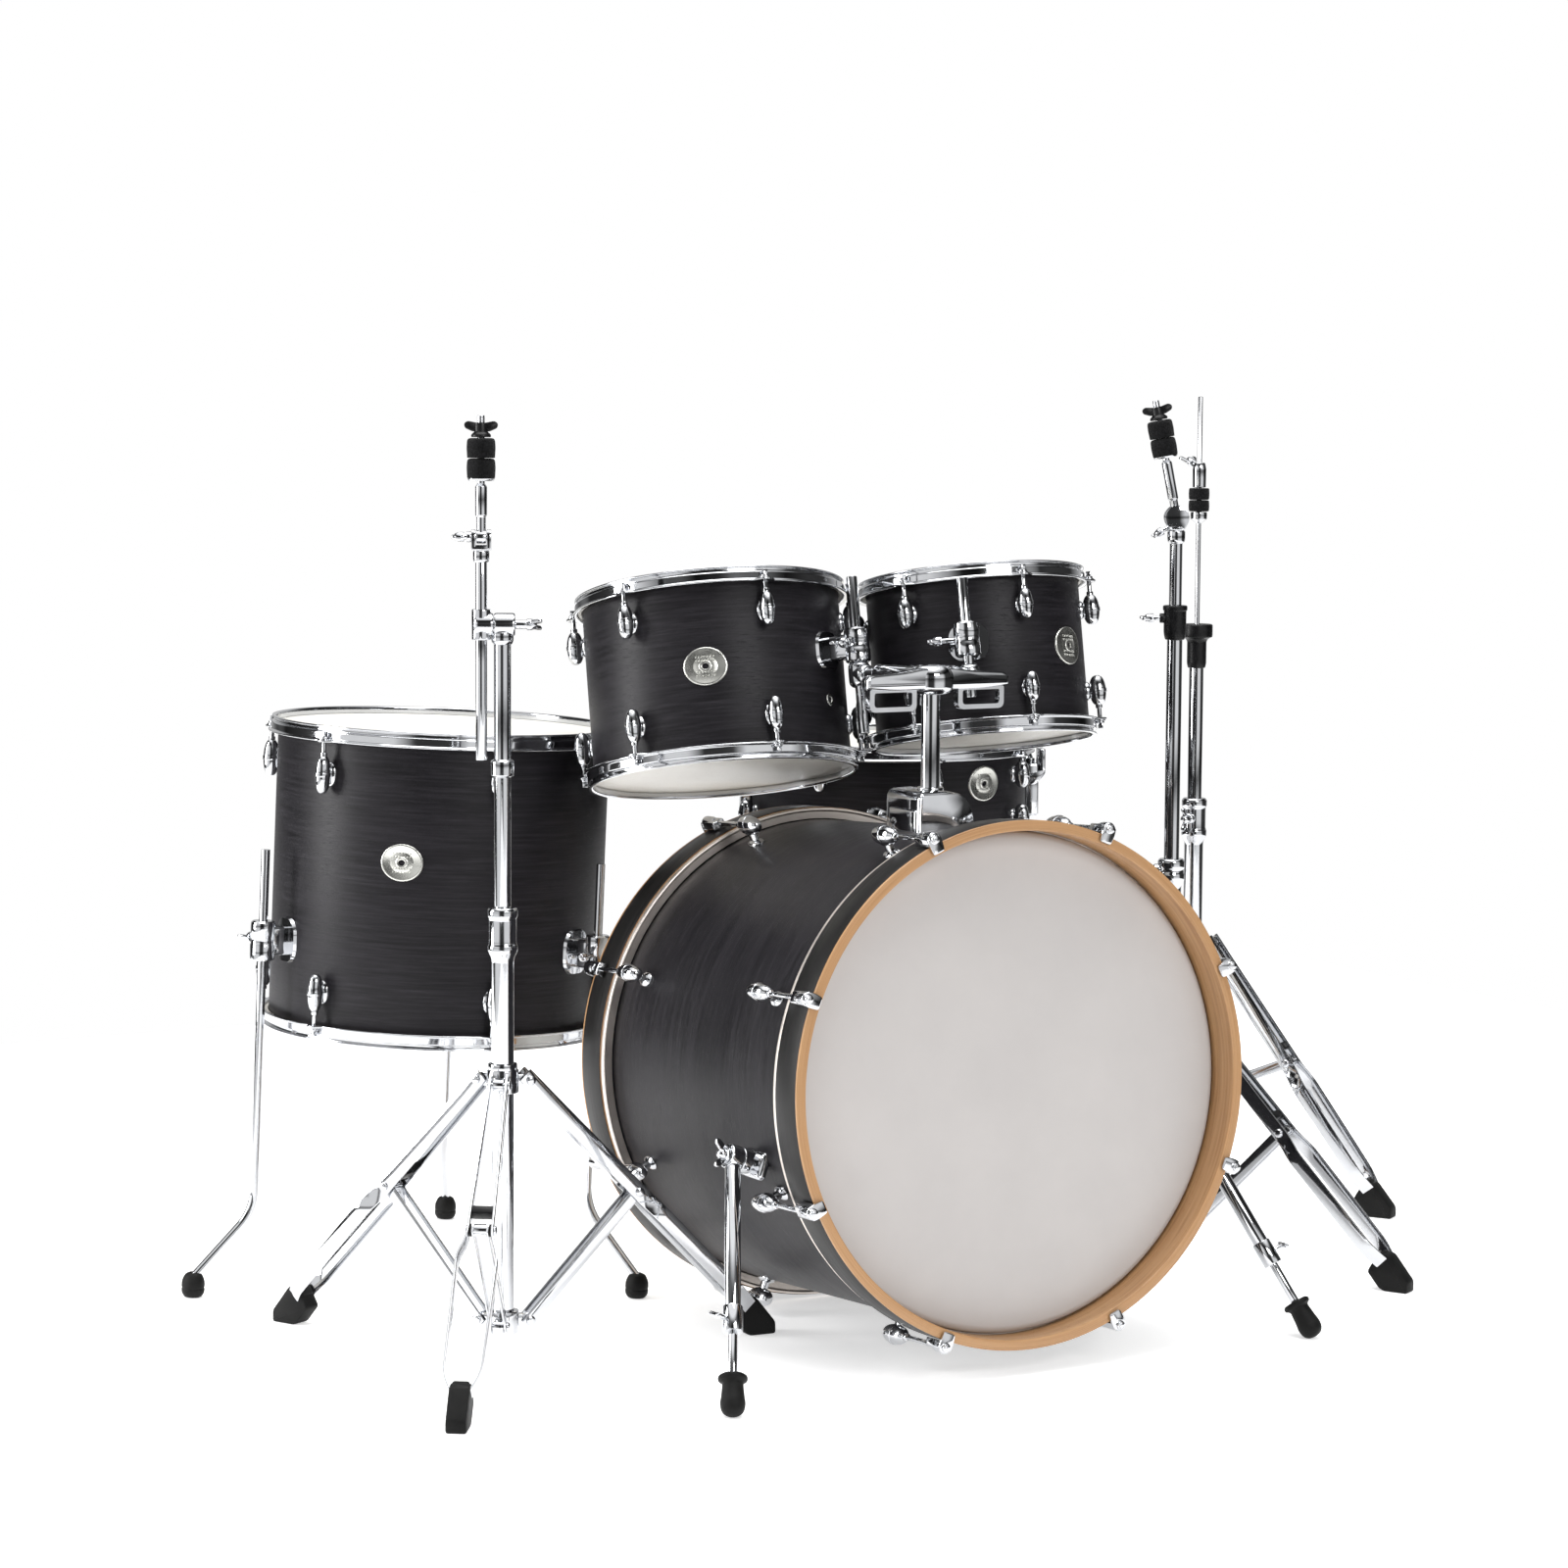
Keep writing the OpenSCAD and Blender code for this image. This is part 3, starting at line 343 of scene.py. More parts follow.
def hoop_maple():
    s = Shader("maple", (0.45, 0.26, 0.12), 0.36, Coat_Weight=0.18, Coat_Roughness=0.12, Specular_IOR_Level=0.35)
    at = s.place("grain")
    rings = s.noise(at, (2.2, 2.2, 260.0), 5.0, 0.6)
    fleck = s.noise(at, (30.0, 30.0, 900.0), 3.0, 0.6)
    broad = s.noise(at, (3.0, 3.0, 40.0), 2.0, 0.5)
    wood = s.ramp(rings, (0.30, (0.30, 0.150, 0.066)), (0.48, (0.41, 0.226, 0.102)), (0.62, (0.46, 0.266, 0.126)),
        (0.78, (0.52, 0.318, 0.162)))
    wood = s.mix(s.fit(fleck, 0.58, 0.75, 0.0, 0.35), wood, (0.36, 0.18, 0.075))
    wood = s.mix(s.fit(broad, 0.4, 0.7, 0.0, 0.3), wood, (0.475, 0.277, 0.136))
    s.set("Base Color", wood)
    s.set("Roughness", s.fit(fleck, 0.3, 0.7, 0.26, 0.42))
    s.bump(s.times(rings, fleck, "ADD"), 0.12, 0.0002)
    return s.mat


def chrome(name, tint=(0.60, 0.61, 0.63), low=0.04, high=0.12):
    s = Shader(name, tint, low, 1.0)
    at = s.place()
    smear = s.noise(at, 34.0, 5.0, 0.6)
    speck = s.noise(at, 900.0, 2.0, 0.5)
    s.set("Roughness", s.fit(s.times(smear, s.times(speck, 0.3), "ADD"), 0.45, 0.95, low, high))
    s.set("Base Color", s.mix(s.fit(smear, 0.4, 0.75, 0.0, 0.35), tint, tuple(c * 0.86 for c in tint)))
    s.bump(s.noise(at, 120.0, 2.0, 0.5), 0.03, 0.0004)
    return s.mat


def head_film(name, color, warm, rough):
    s = Shader(name, color, rough, Specular_IOR_Level=0.35)
    at = s.place()
    cloud = s.noise(at, 7.0, 4.0, 0.6)
    spray = s.noise(at, 520.0, 3.0, 0.6)
    s.set("Base Color", s.mix(s.fit(cloud, 0.35, 0.7, 0.0, 1.0), color, warm))
    s.set("Roughness", s.fit(spray, 0.3, 0.7, rough - 0.08, rough + 0.1))
    s.bump(spray, 0.10, 0.0002)
    return s.mat


def rubber():
    s = Shader("rubber", (0.006, 0.006, 0.006), 0.6, Specular_IOR_Level=0.16)
    at = s.place()
    dust = s.noise(at, 60.0, 5.0, 0.65)
    grain = s.noise(at, 1600.0, 2.0, 0.5)
    s.set("Base Color", s.ramp(dust, (0.40, (0.004, 0.004, 0.004)), (0.62, (0.008, 0.008, 0.0078)),
        (0.80, (0.018, 0.0175, 0.017))))
    s.set("Roughness", s.fit(dust, 0.3, 0.7, 0.46, 0.68))
    s.bump(grain, 0.25, 0.0002)
    return s.mat


def felt():
    s = Shader("felt", (0.005, 0.005, 0.005), 0.95, Sheen_Weight=0.06, Sheen_Roughness=0.6, Specular_IOR_Level=0.06)
    at = s.place()
    fuzz = s.noise(at, 1500.0, 6.0, 0.75)
    tuft = s.noise(at, 260.0, 4.0, 0.7)
    s.set("Base Color", s.ramp(tuft, (0.35, (0.003, 0.003, 0.0032)), (0.7, (0.010, 0.010, 0.011))))
    s.bump(s.times(fuzz, tuft, "ADD"), 0.9, 0.0008)
    return s.mat


def plastic(name, color, rough=0.3):
    s = Shader(name, color, rough, Specular_IOR_Level=0.22)
    at = s.place()
    wear = s.noise(at, 140.0, 4.0, 0.6)
    s.set("Roughness", s.fit(wear, 0.3, 0.7, rough - 0.07, rough + 0.12))
    s.set("Base Color", s.mix(s.fit(wear, 0.45, 0.8, 0.0, 0.4), color, tuple(min(1, c * 1.7 + 0.004) for c in color)))
    s.bump(s.noise(at, 900.0, 2.0, 0.5), 0.08, 0.0002)
    return s.mat


def hoop_lacquer():
    s = Shader("hoop_black", (0.007, 0.0065, 0.0065), 0.40, Specular_IOR_Level=0.22, Coat_Weight=0.06,
        Coat_Roughness=0.2)
    at = s.place("grain")
    streak = s.noise(at, (2.0, 2.0, 420.0), 5.0, 0.6)
    s.set("Base Color", s.ramp(streak, (0.3, (0.004, 0.0038, 0.0038)), (0.7, (0.013, 0.012, 0.0115))))
    s.set("Roughness", s.fit(streak, 0.3, 0.7, 0.34, 0.48))
    s.bump(streak, 0.15, 0.0002)
    return s.mat


EBONY = stained_wood("ebony_wood")
MAPLE = hoop_maple()
LACQUER = hoop_lacquer()
CHROME = chrome("chrome")
SATIN = chrome("satin_steel", (0.50, 0.51, 0.53), 0.16, 0.30)
NICKEL = chrome("badge_metal", (0.66, 0.66, 0.62), 0.22, 0.38)
FRONT_FILM = head_film("front_head", (0.475, 0.455, 0.447), (0.51, 0.488, 0.478), 0.50)
CLEAR_FILM = head_film("tom_head", (0.80, 0.77, 0.71), (0.72, 0.68, 0.61), 0.34)
COATED_FILM = head_film("coated_head", (0.76, 0.745, 0.70), (0.70, 0.685, 0.64), 0.58)
RUBBER = rubber()
FELT = felt()
BLACK = plastic("black_plastic", (0.005, 0.005, 0.0055), 0.32)
ALLOY = chrome("hoop_alloy", (0.86, 0.79, 0.73), 0.36, 0.52)

KIT = shift(-116, -522, 0)


# ---- fittings shared by several parts -----------------------------------

def wing_bolt(p, at, shaft=16.0, wing=13.0, height=15.0, boss=6.0):
    """A wing bolt along z: its shaft starts at z = 0 and the wings are at the far end."""
    p.rod(boss * 0.55, 0, shaft, at, seg=20)
    p.lathe([(0, shaft - 3), (boss, shaft - 3), (boss + 0.4, shaft - 2), (boss + 0.2, shaft + 3),
        (boss * 0.75, shaft + 7),
        (boss * 0.4, shaft + 8.2), (0, shaft + 8.5)], at, 28)
    lobe = rounded([(2, 0), (wing - 6, 1), (wing, height - 4), (wing - 1, height), (wing - 6, height), (4, 7)],
        [0, 4, 4, 3, 5, 0], steps=4)
    for side in (0, 180):
        p.plate(lobe, -2.0, 2.0, at @ shift(z=shaft - 2) @ turn("Z", side) @ turn("X", 90), 1.3)


def key_rod(p, at, length, r=2.6):
    """A tension rod along z with its washer and square head at z = 0 and below."""
    p.rod(r, -1, length, at, seg=20)
    p.rod(6.4, -1.6, 0.2, at, seg=28)
    p.rod(4.9, -4.4, -1.4, at, seg=28, edge=1.0)
    p.block((-2.9, -2.9, -10.4), (2.9, 2.9, -4.0), at, 0.7)


def lug_outline(half, r):
    """Bullet outline, pointed at both ends; the waistband is a separate ring added in lug."""
    side = [(r * math.sin(math.pi * k / 22) ** 0.72, -half * math.cos(math.pi * k / 22)) for k in range(23)]
    side[0], side[-1] = (0, -half), (0, half)
    return side


def lug(p, at, half, r, out):
    """A bullet lug: long axis z, standing out along x; the shell is at x = -out."""
    p.lathe(lug_outline(half, r), at, 32, squash=0.86)
    p.ring(r * 0.93, r + 0.7, -2.6, 2.6, at @ Matrix.Diagonal((1, 0.86, 1, 1)), 32, 0.7)
    foot = at @ shift(x=-out) @ turn("Y", 90)
    p.lathe([(0, -0.5), (half * 0.62, -0.5), (half * 0.62, 1.4), (half * 0.54, 3.0), (r * 0.62, 5.0),
        (r * 0.55, out - 2)],
        foot, 32, squash=0.66)


def steel_ring(p, r, n, start, at):
    """Triple-flanged hoop at the lower end of a drum, with an ear for each rod."""
    outline = [(r + 8, 0), (r + 2, 0), (r + 2, 8.7), (r + 6.2, 8.7), (r + 6.2, 19), (r + 12, 19), (r + 12, 16.7),
        (r + 8.5, 16.7), (r + 8.5, 6.4), (r + 4.3, 6.4), (r + 4.3, 2.3), (r + 8, 2.3)]
    cuts = [1.1, 2.2, 0.6, 0.6, 2.6, 1.1, 1.1, 2.4, 2.2, 0.6, 0.6, 1.1]
    p.lathe(rounded(outline[::-1], cuts[::-1], steps=3), at, 144, closed=True)
    ear = rounded([(-4, -15), (3, -9), (8, -4.5), (8, 4.5), (3, 9), (-4, 15), (-5, 15), (-5, -15)],
        [4, 5, 4, 4, 5, 4, 0, 0], steps=4)
    for i in range(n):
        p.plate(ear, 16.75, 18.95, at @ turn("Z", start + i * 360 / n) @ shift(r + 13), 0.6)


def film_disc(p, r, at):
    p.lathe(rounded([(0, 9), (r + 5.6, 9), (r + 5.6, 16), (r + 0.8, 16), (r + 0.8, 9.5), (0, 9.5)],
        [0, 1.4, 1.0, 1.0, 0.2, 0], closed=False, steps=4), at, 144)


def badge(name, body, place, r, angle, z, wide=26.0, tall=22.5):
    """Plain oval vent badge lying on a shell of radius r."""
    p = Piece(name, place @ turn("Z", angle))
    heights = [(1.0, 0.0), (0.985, 0.9), (0.95, 1.5), (0.88, 1.5), (0.84, 1.0), (0.60, 1.0), (0.57, 0.7), (0.53, 0.7),
        (0.50, 1.0), (0.30, 1.0), (0.27, 1.7), (0.20, 1.9), (0.16, 1.5), (0.14, 0.1)]
    seg, verts, faces = 72, [], []
    for rho, h in heights:
        for k in range(seg):
            a = 2 * math.pi * k / seg
            y, up = wide * rho * math.cos(a), tall * rho * math.sin(a)
            b = y / r
            verts.append(((r + h) * math.cos(b), (r + h) * math.sin(b), z + up))
    for i in range(len(heights) - 1):
        for k in range(seg):
            j = (k + 1) % seg
            faces.append((i * seg + k, i * seg + j, (i + 1) * seg + j, (i + 1) * seg + k))
    p.add(verts, faces)
    for s in (-1, 1):
        for v in (-0.40, 0.40):
            for k in range(-3, 4):
                b = k * 3.4 / r
                spot = turn("Z", math.degrees(b)) @ shift(r + 0.8, 0, z + v * tall + s * 2.2)
                p.block((-0.6, -0.9, -1.1), (0.55, 0.9, 1.1), spot, 0.35, 1)
    p.made(body, "chrome_steel", NICKEL, solid=False)


def drum(name, body, place, r, h, n, start, lug_in, lug_half):
    """Shell, heads, hoops and lugs of a drum with steel hoops: n lugs from the angle start, lug_in from each end."""
    ends = (ONE, flip_z(h))
    shell = Piece(name + "_shell_wood", place)
    shell.lathe(rounded([(r - 6, 10.2), (r, 12), (r, h - 12), (r - 6, h - 10.2)][::-1], [0.4, 1.2, 1.2, 0.4],
        steps=2)[::-1],
        seg=192, closed=True)
    shell.made(body, "ebony_shell", EBONY, name + "_shell")
    for part, end, film in zip(("lower", "upper"), ends, (CLEAR_FILM, COATED_FILM)):
        p = Piece(f"{name}_{part}_head", place)
        film_disc(p, r, end)
        p.made(body, "drum_head", film, name + "_heads")
    hoops = Piece(name + "_steel_hoops", place)
    lugs = Piece(name + "_bullet_lugs", place)
    for end in ends:
        steel_ring(hoops, r, n, start, end)
        for i in range(n):
            at = end @ turn("Z", start + i * 360 / n) @ shift(r + 13)
            lug(lugs, at @ shift(z=lug_in), lug_half, 10, 13)
            key_rod(lugs, at @ shift(z=16.7), lug_in - 18)
            lugs.rod(4.0, lug_in - lug_half - 3.5, lug_in - lug_half + 5, at, seg=24, edge=1)
    hoops.chromed(body, name + "_hoops")
    lugs.chromed(body, name + "_lugs")


def rod_clamp(p, r, reach, z, tall, wing_side=-1):
    """Clamp beside a shell of radius r: an upright barrel at x = reach, a curved foot and a wing bolt."""
    barrel = [(0, -tall), (12.5, -tall), (14.6, -tall + 2), (15, -tall + 6), (15, -5), (14.4, -4), (14.4, 4), (15, 5),
        (15, tall - 6), (14.6, tall - 2), (12.5, tall), (0, tall)]
    p.lathe(barrel, shift(reach, 0, z), 48)
    p.block((r - 2, -11, z - tall * 0.72), (reach, 11, z + tall * 0.72), edge=4, steps=3)
    half = tall * 1.15
    foot = rounded([(-24, -half * 0.55), (-14, -half), (14, -half), (24, -half * 0.55), (24, half * 0.55), (14, half),
        (-14, half), (-24, half * 0.55)], 9, steps=4)
    seg = 14
    for lift, scale in ((0.0, 1.0), (3.6, 0.94)):
        verts = [((r + lift) * math.cos(u.x * scale / r), (r + lift) * math.sin(u.x * scale / r),
            z + u.y * scale) for u in foot]
        if lift == 0.0:
            rim = verts
            continue
        middle = [(r + 4.4, 0, z)]
        n = len(foot)
        p.add(rim + verts + middle, [(i, (i + 1) % n, n + (i + 1) % n, n + i) for i in range(n)]
            + [(n + i, n + (i + 1) % n, 2 * n) for i in range(n)])
    wing_bolt(p, shift(reach, wing_side * 12, z) @ turn("X", -90 * wing_side), 20, 14, 15)


# ---- bass drum ----------------------------------------------------------

BASS_LEN, TILT = 507.0, 3.33
BASS = KIT @ shift(z=BASS_LEN * math.sin(math.radians(TILT)) + 295 * math.cos(math.radians(TILT))) @ turn("X",
    -90 - TILT)
BASS_ENDS = (ONE, flip_z(BASS_LEN))
HOOP_IN, HOOP_DEEP, HEAD_IN = 283.0, 46.0, 36.0

p = Piece("bass_shell_wood", BASS)
p.lathe([(272.5, 40), (272.5, BASS_LEN - 40), (276, BASS_LEN - 37.3), (279.5, BASS_LEN - 40), (279.5, 40), (276, 37.3)],
    seg=256, closed=True)
p.made("kit", "ebony_shell", EBONY, "bass_shell")

wood, skin = Piece("bass_hoop_wood", BASS), Piece("bass_hoop_skin", BASS)
for end in BASS_ENDS:
    wood.lathe(rounded([(HOOP_IN, 0), (HOOP_IN, HOOP_DEEP), (294.3, HOOP_DEEP), (294.3, 3.4), (294.9, 3.0),
        (295, 2.4), (295, 0)],
        [1.6, 0.8, 0, 0, 0, 0.3, 1.6], steps=3)[::-1], end, 256, closed=True)
    skin.lathe(rounded([(294.1, 3.2), (294.1, HOOP_DEEP), (295, HOOP_DEEP), (295, 3.2)], [0, 0, 0.6, 0.5],
        steps=2)[::-1],
        end, 256, closed=True)
wood.made("kit", "maple_hoop", MAPLE, "bass_hoops")
skin.made("kit", "maple_hoop", LACQUER, "bass_hoops")

collar = Piece("bass_head_collars", BASS)
for name, end, film in (("front", BASS_ENDS[0], FRONT_FILM), ("batter", BASS_ENDS[1], COATED_FILM)):
    p = Piece(f"bass_{name}_head", BASS)
    p.lathe(rounded([(0, HEAD_IN), (276, HEAD_IN), (281.4, HEAD_IN + 4), (281.8, HEAD_IN + 12), (280.8, HEAD_IN + 12),
        (276, HEAD_IN + 1),
        (0, HEAD_IN + 0.8)], [0, 5, 5, 0.3, 0.3, 4, 0], closed=False, steps=4), end, 256)
    p.made("kit", "drum_head", film, "bass_heads")
    collar.lathe(rounded([(281.9, HOOP_DEEP + 0.3), (293.5, HOOP_DEEP + 0.3), (293.5, HOOP_DEEP + 8),
        (290.4, HOOP_DEEP + 8),
        (289.4, HOOP_DEEP + 5.6), (280.7, HOOP_DEEP + 5.6)], [0.6, 1.6, 1.6, 0.8, 0.6, 0.4], steps=3), end, 256,
        closed=True)
collar.made("kit", "chrome_steel", ALLOY, "bass_heads")

lugs, claws = Piece("bass_bullet_lugs", BASS), Piece("bass_claw_hooks", BASS)
for end in BASS_ENDS:
    for i in range(8):
        at = end @ turn("Z", 22.5 + i * 45) @ shift(303)
        lug(lugs, at @ shift(z=100), 22, 11.5, 23.5)
        lugs.rod(4.6, 74, 84, at, seg=24, edge=1)
        claws.rod(3, 8, 78, at, seg=20)
        claws.turned([(0, -5.2), (5.5, -5.2), (7.4, -3.4), (7.4, 10), (6.2, 14), (5.6, 17.5), (0, 17.5)],
            [0, 1.2, 1.6, 3, 2, 0.8, 0], at, 36)
        claws.plate(rounded([(-17, -7.5), (-4, -9), (3, -8), (3, 8), (-4, 9), (-17, 7.5)], [3, 5, 2, 2, 5, 3]), -4.8,
            -1.2, at, 1.2)
        claws.plate(rounded([(-6.5, -8.6), (4, -7.4), (4, 7.4), (-6.5, 8.6)], [1, 3, 3, 1]), -4.0, 26.0, at, 1.0)
        claws.rod(5.0, -8.0, -4.6, at, seg=28, edge=1)
        claws.block((-2.9, -2.9, -9.0), (2.9, 2.9, -7.0), at, 0.6)
lugs.chromed("kit", "bass_lugs")
claws.chromed("kit", "bass_claws")

# ---- spurs --------------------------------------------------------------

SPUR, FOOT, AXIS = Vector((-304, 124, 250)), Vector((-383, -20, 14)), Vector((-0.873, -0.039, 0.309))
for side, name in ((1, "left"), (-1, "right")):
    place = KIT @ Matrix.Diagonal((side, 1, 1, 1))
    d = (FOOT - SPUR).normalized()
    hinge = shift(*SPUR) @ along(AXIS)
    p = Piece(f"spur_{name}_tubes", place)
    p.lathe(rounded([(5.2, -8), (14, -8), (14, 8), (5.2, 8)][::-1], 1.6, steps=3), hinge, 48, closed=True)
    p.bar(SPUR + d * 13, SPUR + d * 200, 9, 40, 1)
    p.bar(SPUR + d * 176, SPUR + d * 206, 11, 40, 1.4)
    p.bar(SPUR + d * 190, SPUR + d * 262, 5, 24)
    screw = shift(*(SPUR + d * 191)) @ along(AXIS)
    p.rod(3, 8, 22, screw, seg=20)
    p.bar(screw @ Vector((0, -9, 24)), screw @ Vector((0, 9, 24)), 2.8, 20, 1.2)
    p.chromed("spur_" + name, "spur_" + name)
    p = Piece(f"spur_{name}_tip", place)
    tip = shift(*(SPUR + d * 257)) @ along(d)
    p.turned([(5.1, -2), (13, -2), (16, 0), (16, 4), (11.2, 6.5), (12.6, 22), (14, 30), (12.4, 38.5), (7.5, 43.4),
        (0, 44.4)],
        [0, 1, 1.5, 1.5, 3, 4, 4, 5, 4, 0], tip, 40)
    p.made("spur_" + name, "black_fitting", RUBBER, "spur_" + name)
    p = Piece(f"spur_{name}_bracket", place)
    back = shift(*SPUR) @ along(-AXIS)
    p.turned([(0, 8.4), (14, 8.4), (14, 20), (12, 26), (13, 34), (0, 34)], [0, 1.5, 3, 4, 2, 0], back, 48)
    p.block((-16, -22, 26), (16, 22, 37), back, 5, 3)
    p.rod(5, -14, 20, back, seg=28)
    p.ring(5.0, 9.5, 8.4, 12.5, hinge, 36, 1)
    wing_bolt(p, hinge @ shift(z=2) @ turn("Z", 25), 10, 17, 14, 6)
    p.chromed("kit", "spur_brackets")

# ---- tom holder ---------------------------------------------------------

POST_Y, ARM_Z = 207.0, 762.0
HEAD = Vector((0, POST_Y, ARM_Z))


def axis_of(t):
    return tilted(t).to_3x3() @ Vector((0, 0, 1))


def rod_point(at, t, rod):
    a = axis_of(t)
    c = Vector(at) + a * ((ARM_Z - at[2]) / a.z)
    return Vector((c.x + rod[0] * math.cos(math.radians(rod[1])), c.y + rod[0] * math.sin(math.radians(rod[1])), ARM_Z))


TOMS = {
    "large": dict(at=(-132.6, 455.1, 631.5), t=(14.13, 80.2), rod=(196, -60), r=152.5, h=226, start=-36, half=20,
    mid=34,
        socket=84, below=70, arm="tom_arm_left"),
    "small": dict(at=(156.7, 337.7, 672.4), t=(11.13, 84.75), rod=(160, -126), r=127, h=201, start=-37, half=18, mid=44,
        socket=48, below=24, arm="tom_arm_right"),
}

p = Piece("tom_holder_casting", KIT @ shift(0, POST_Y, 0))
front = rounded([(-37, 574), (-36, 630), (-31, 636), (2, 637), (20, 633), (33, 620), (38, 598), (39, 574)],
    [1, 4, 4, 12, 12, 12, 12, 1], steps=6)
p.plate(front, -38, 34, turn("X", 90), 3.2)
p.plate([(q.x * 0.98 + 0.8, q.y) for q in front if q.y < 634.5], 33, 36, turn("X", 90), 1.4)
p.block((-38.4, -30, 582), (-33, 28, 616), edge=2.4, steps=3)
p.ring(11.15, 15.5, 634, 639, ONE, 48, 1.2)
p.turned([(0, 0), (9, 0), (9, 8), (6.5, 11), (0, 11)], [0, 1, 2, 1, 0], shift(0, 36, 615) @ turn("X", -90), 36)
wing_bolt(p, shift(0, 38, 615) @ turn("X", -90) @ turn("Z", 90), 14, 17, 15)
p.chromed("kit", "tom_holder_base")

p = Piece("tom_post_tube", KIT @ shift(0, POST_Y, 0))
p.lathe(rounded([(9.5, 470), (11, 470), (11, ARM_Z - 15), (9.5, ARM_Z - 15)][::-1], 0.5), seg=48, closed=True)
p.chromed("tom_post", "tom_post")

casting = Piece("tom_holder_cross", KIT)
casting.lathe(rounded([(0, -16), (20, -16), (26, -10), (26, 8), (20, 17), (8, 18.5), (0, 18.5)],
    [0, 3, 4, 6, 6, 3, 0], closed=False, steps=5),
    shift(*HEAD), 64)
bar = rounded([(-95, -7), (-95, 5), (-88, 8), (-42, 11), (-20, 15), (20, 15), (42, 11), (88, 8), (95, 5), (95, -7),
    (60, -10.5), (-60, -10.5)],
    [2, 4, 6, 14, 12, 12, 14, 6, 4, 2, 12, 12], steps=5)
casting.plate(bar, 2, 18, shift(*HEAD) @ turn("X", 90), 3.4)
for side in (-1, 1):
    x0, x1 = side * 59 - 31, side * 59 + 31
    handle = rounded([(x0, -34), (x1, -34), (x1, -8), (x0, -8)], [8, 8, 3, 3], steps=5)
    hole = rounded([(x0 + 6, -28.6), (x1 - 6, -28.6), (x1 - 6, -12), (x0 + 6, -12)], [4.5, 4.5, 3, 3], steps=5)
    n = len(handle)
    layers = [[(q.x, y, q.y) for q in line] for line in (handle, hole) for y in (-14.0, -5.0)]
    faces = []
    for i in range(n):
        j = (i + 1) % n
        faces += [(i, j, n + j, n + i), (2 * n + j, 2 * n + i, 3 * n + i, 3 * n + j), (j, i, 2 * n + i, 2 * n + j),
            (n + i, n + j, 3 * n + j, 3 * n + i)]
    casting.add(sum(layers, []), faces, shift(*HEAD))
for name, tom in TOMS.items():
    tom["rod_at"] = rod_point(tom["at"], tom["t"], tom["rod"])
    d = tom["rod_at"] - HEAD
    frame_at = shift(*HEAD) @ turn("Z", math.degrees(math.atan2(d.y, d.x)))
    length = tom["socket"]
    casting.turned([(0, 5), (16, 5), (15.6, 30), (14.6, length - 3), (13, length), (9.6, length), (9.6, length - 20)],
        [0, 1, 8, 2, 1, 0.6, 0], frame_at @ turn("Y", 90), 48)
    arm = Piece(tom["arm"] + "_rod", KIT)
    arm.turned([(0, 31), (9.5, 31), (9.5, d.length - 6), (0, d.length - 6)], [0, 0.8, 1, 0],
        frame_at @ turn("Y", 90), 36)
    a = axis_of(tom["t"])
    upright = shift(*tom["rod_at"]) @ along(a)
    arm.turned([(0, -15), (9, -15), (12.6, -11), (13, 0), (12.6, 11), (9, 15), (0, 15)], [0, 2, 3, 5, 3, 2, 0],
        upright, 44)
    arm.turned([(0, -15), (11.4, -15), (13, -10), (13, 4), (0, 4)], [0, 2, 3, 2, 0],
        shift(*tom["rod_at"]) @ turn("Z", math.degrees(math.atan2(d.y, d.x))) @ turn("Y", 90), 40)
    arm.rod(6.35, -tom["below"], 116, upright, 32, 1.2)
    arm.chromed(tom["arm"], tom["arm"])
casting.chromed("tom_post", "tom_holder_head")

for name, tom in TOMS.items():
    body = name + "_tom"
    place = KIT @ shift(*tom["at"]) @ tilted(tom["t"])
    tom["place"] = place
    drum(body, body, place, tom["r"], tom["h"], 6, tom["start"], 52, tom["half"])
    local = tilted(tom["t"]).inverted() @ (tom["rod_at"] - Vector(tom["at"]))
    p = Piece(body + "_clamp", place @ turn("Z", math.degrees(math.atan2(local.y, local.x))))
    rod_clamp(p, tom["r"], math.hypot(local.x, local.y), local.z + tom["mid"], 20, -1)
    p.chromed(body, body + "_bracket")
p = Piece("large_tom_vent", TOMS["large"]["place"] @ turn("Z", -60.2) @ shift(151.4, 0, 73.6) @ turn("Y", 90))
p.lathe(rounded([(3.4, -2), (3.4, 1.4), (4.4, 2.2), (7.0, 1.4), (7.4, 0), (5.0, 0), (5.0, -2)],
    [0.4, 1, 1.2, 1.2, 0.2, 0.2, 0.2], steps=3),
    ONE, 40, closed=True)
p.made("large_tom", "chrome_steel", NICKEL)
badge("large_tom_badge", "large_tom", TOMS["large"]["place"], 152.5, -123.3, 112)
badge("small_tom_badge", "small_tom", TOMS["small"]["place"], 127, -64.6, 102)

# ---- floor tom ----------------------------------------------------------

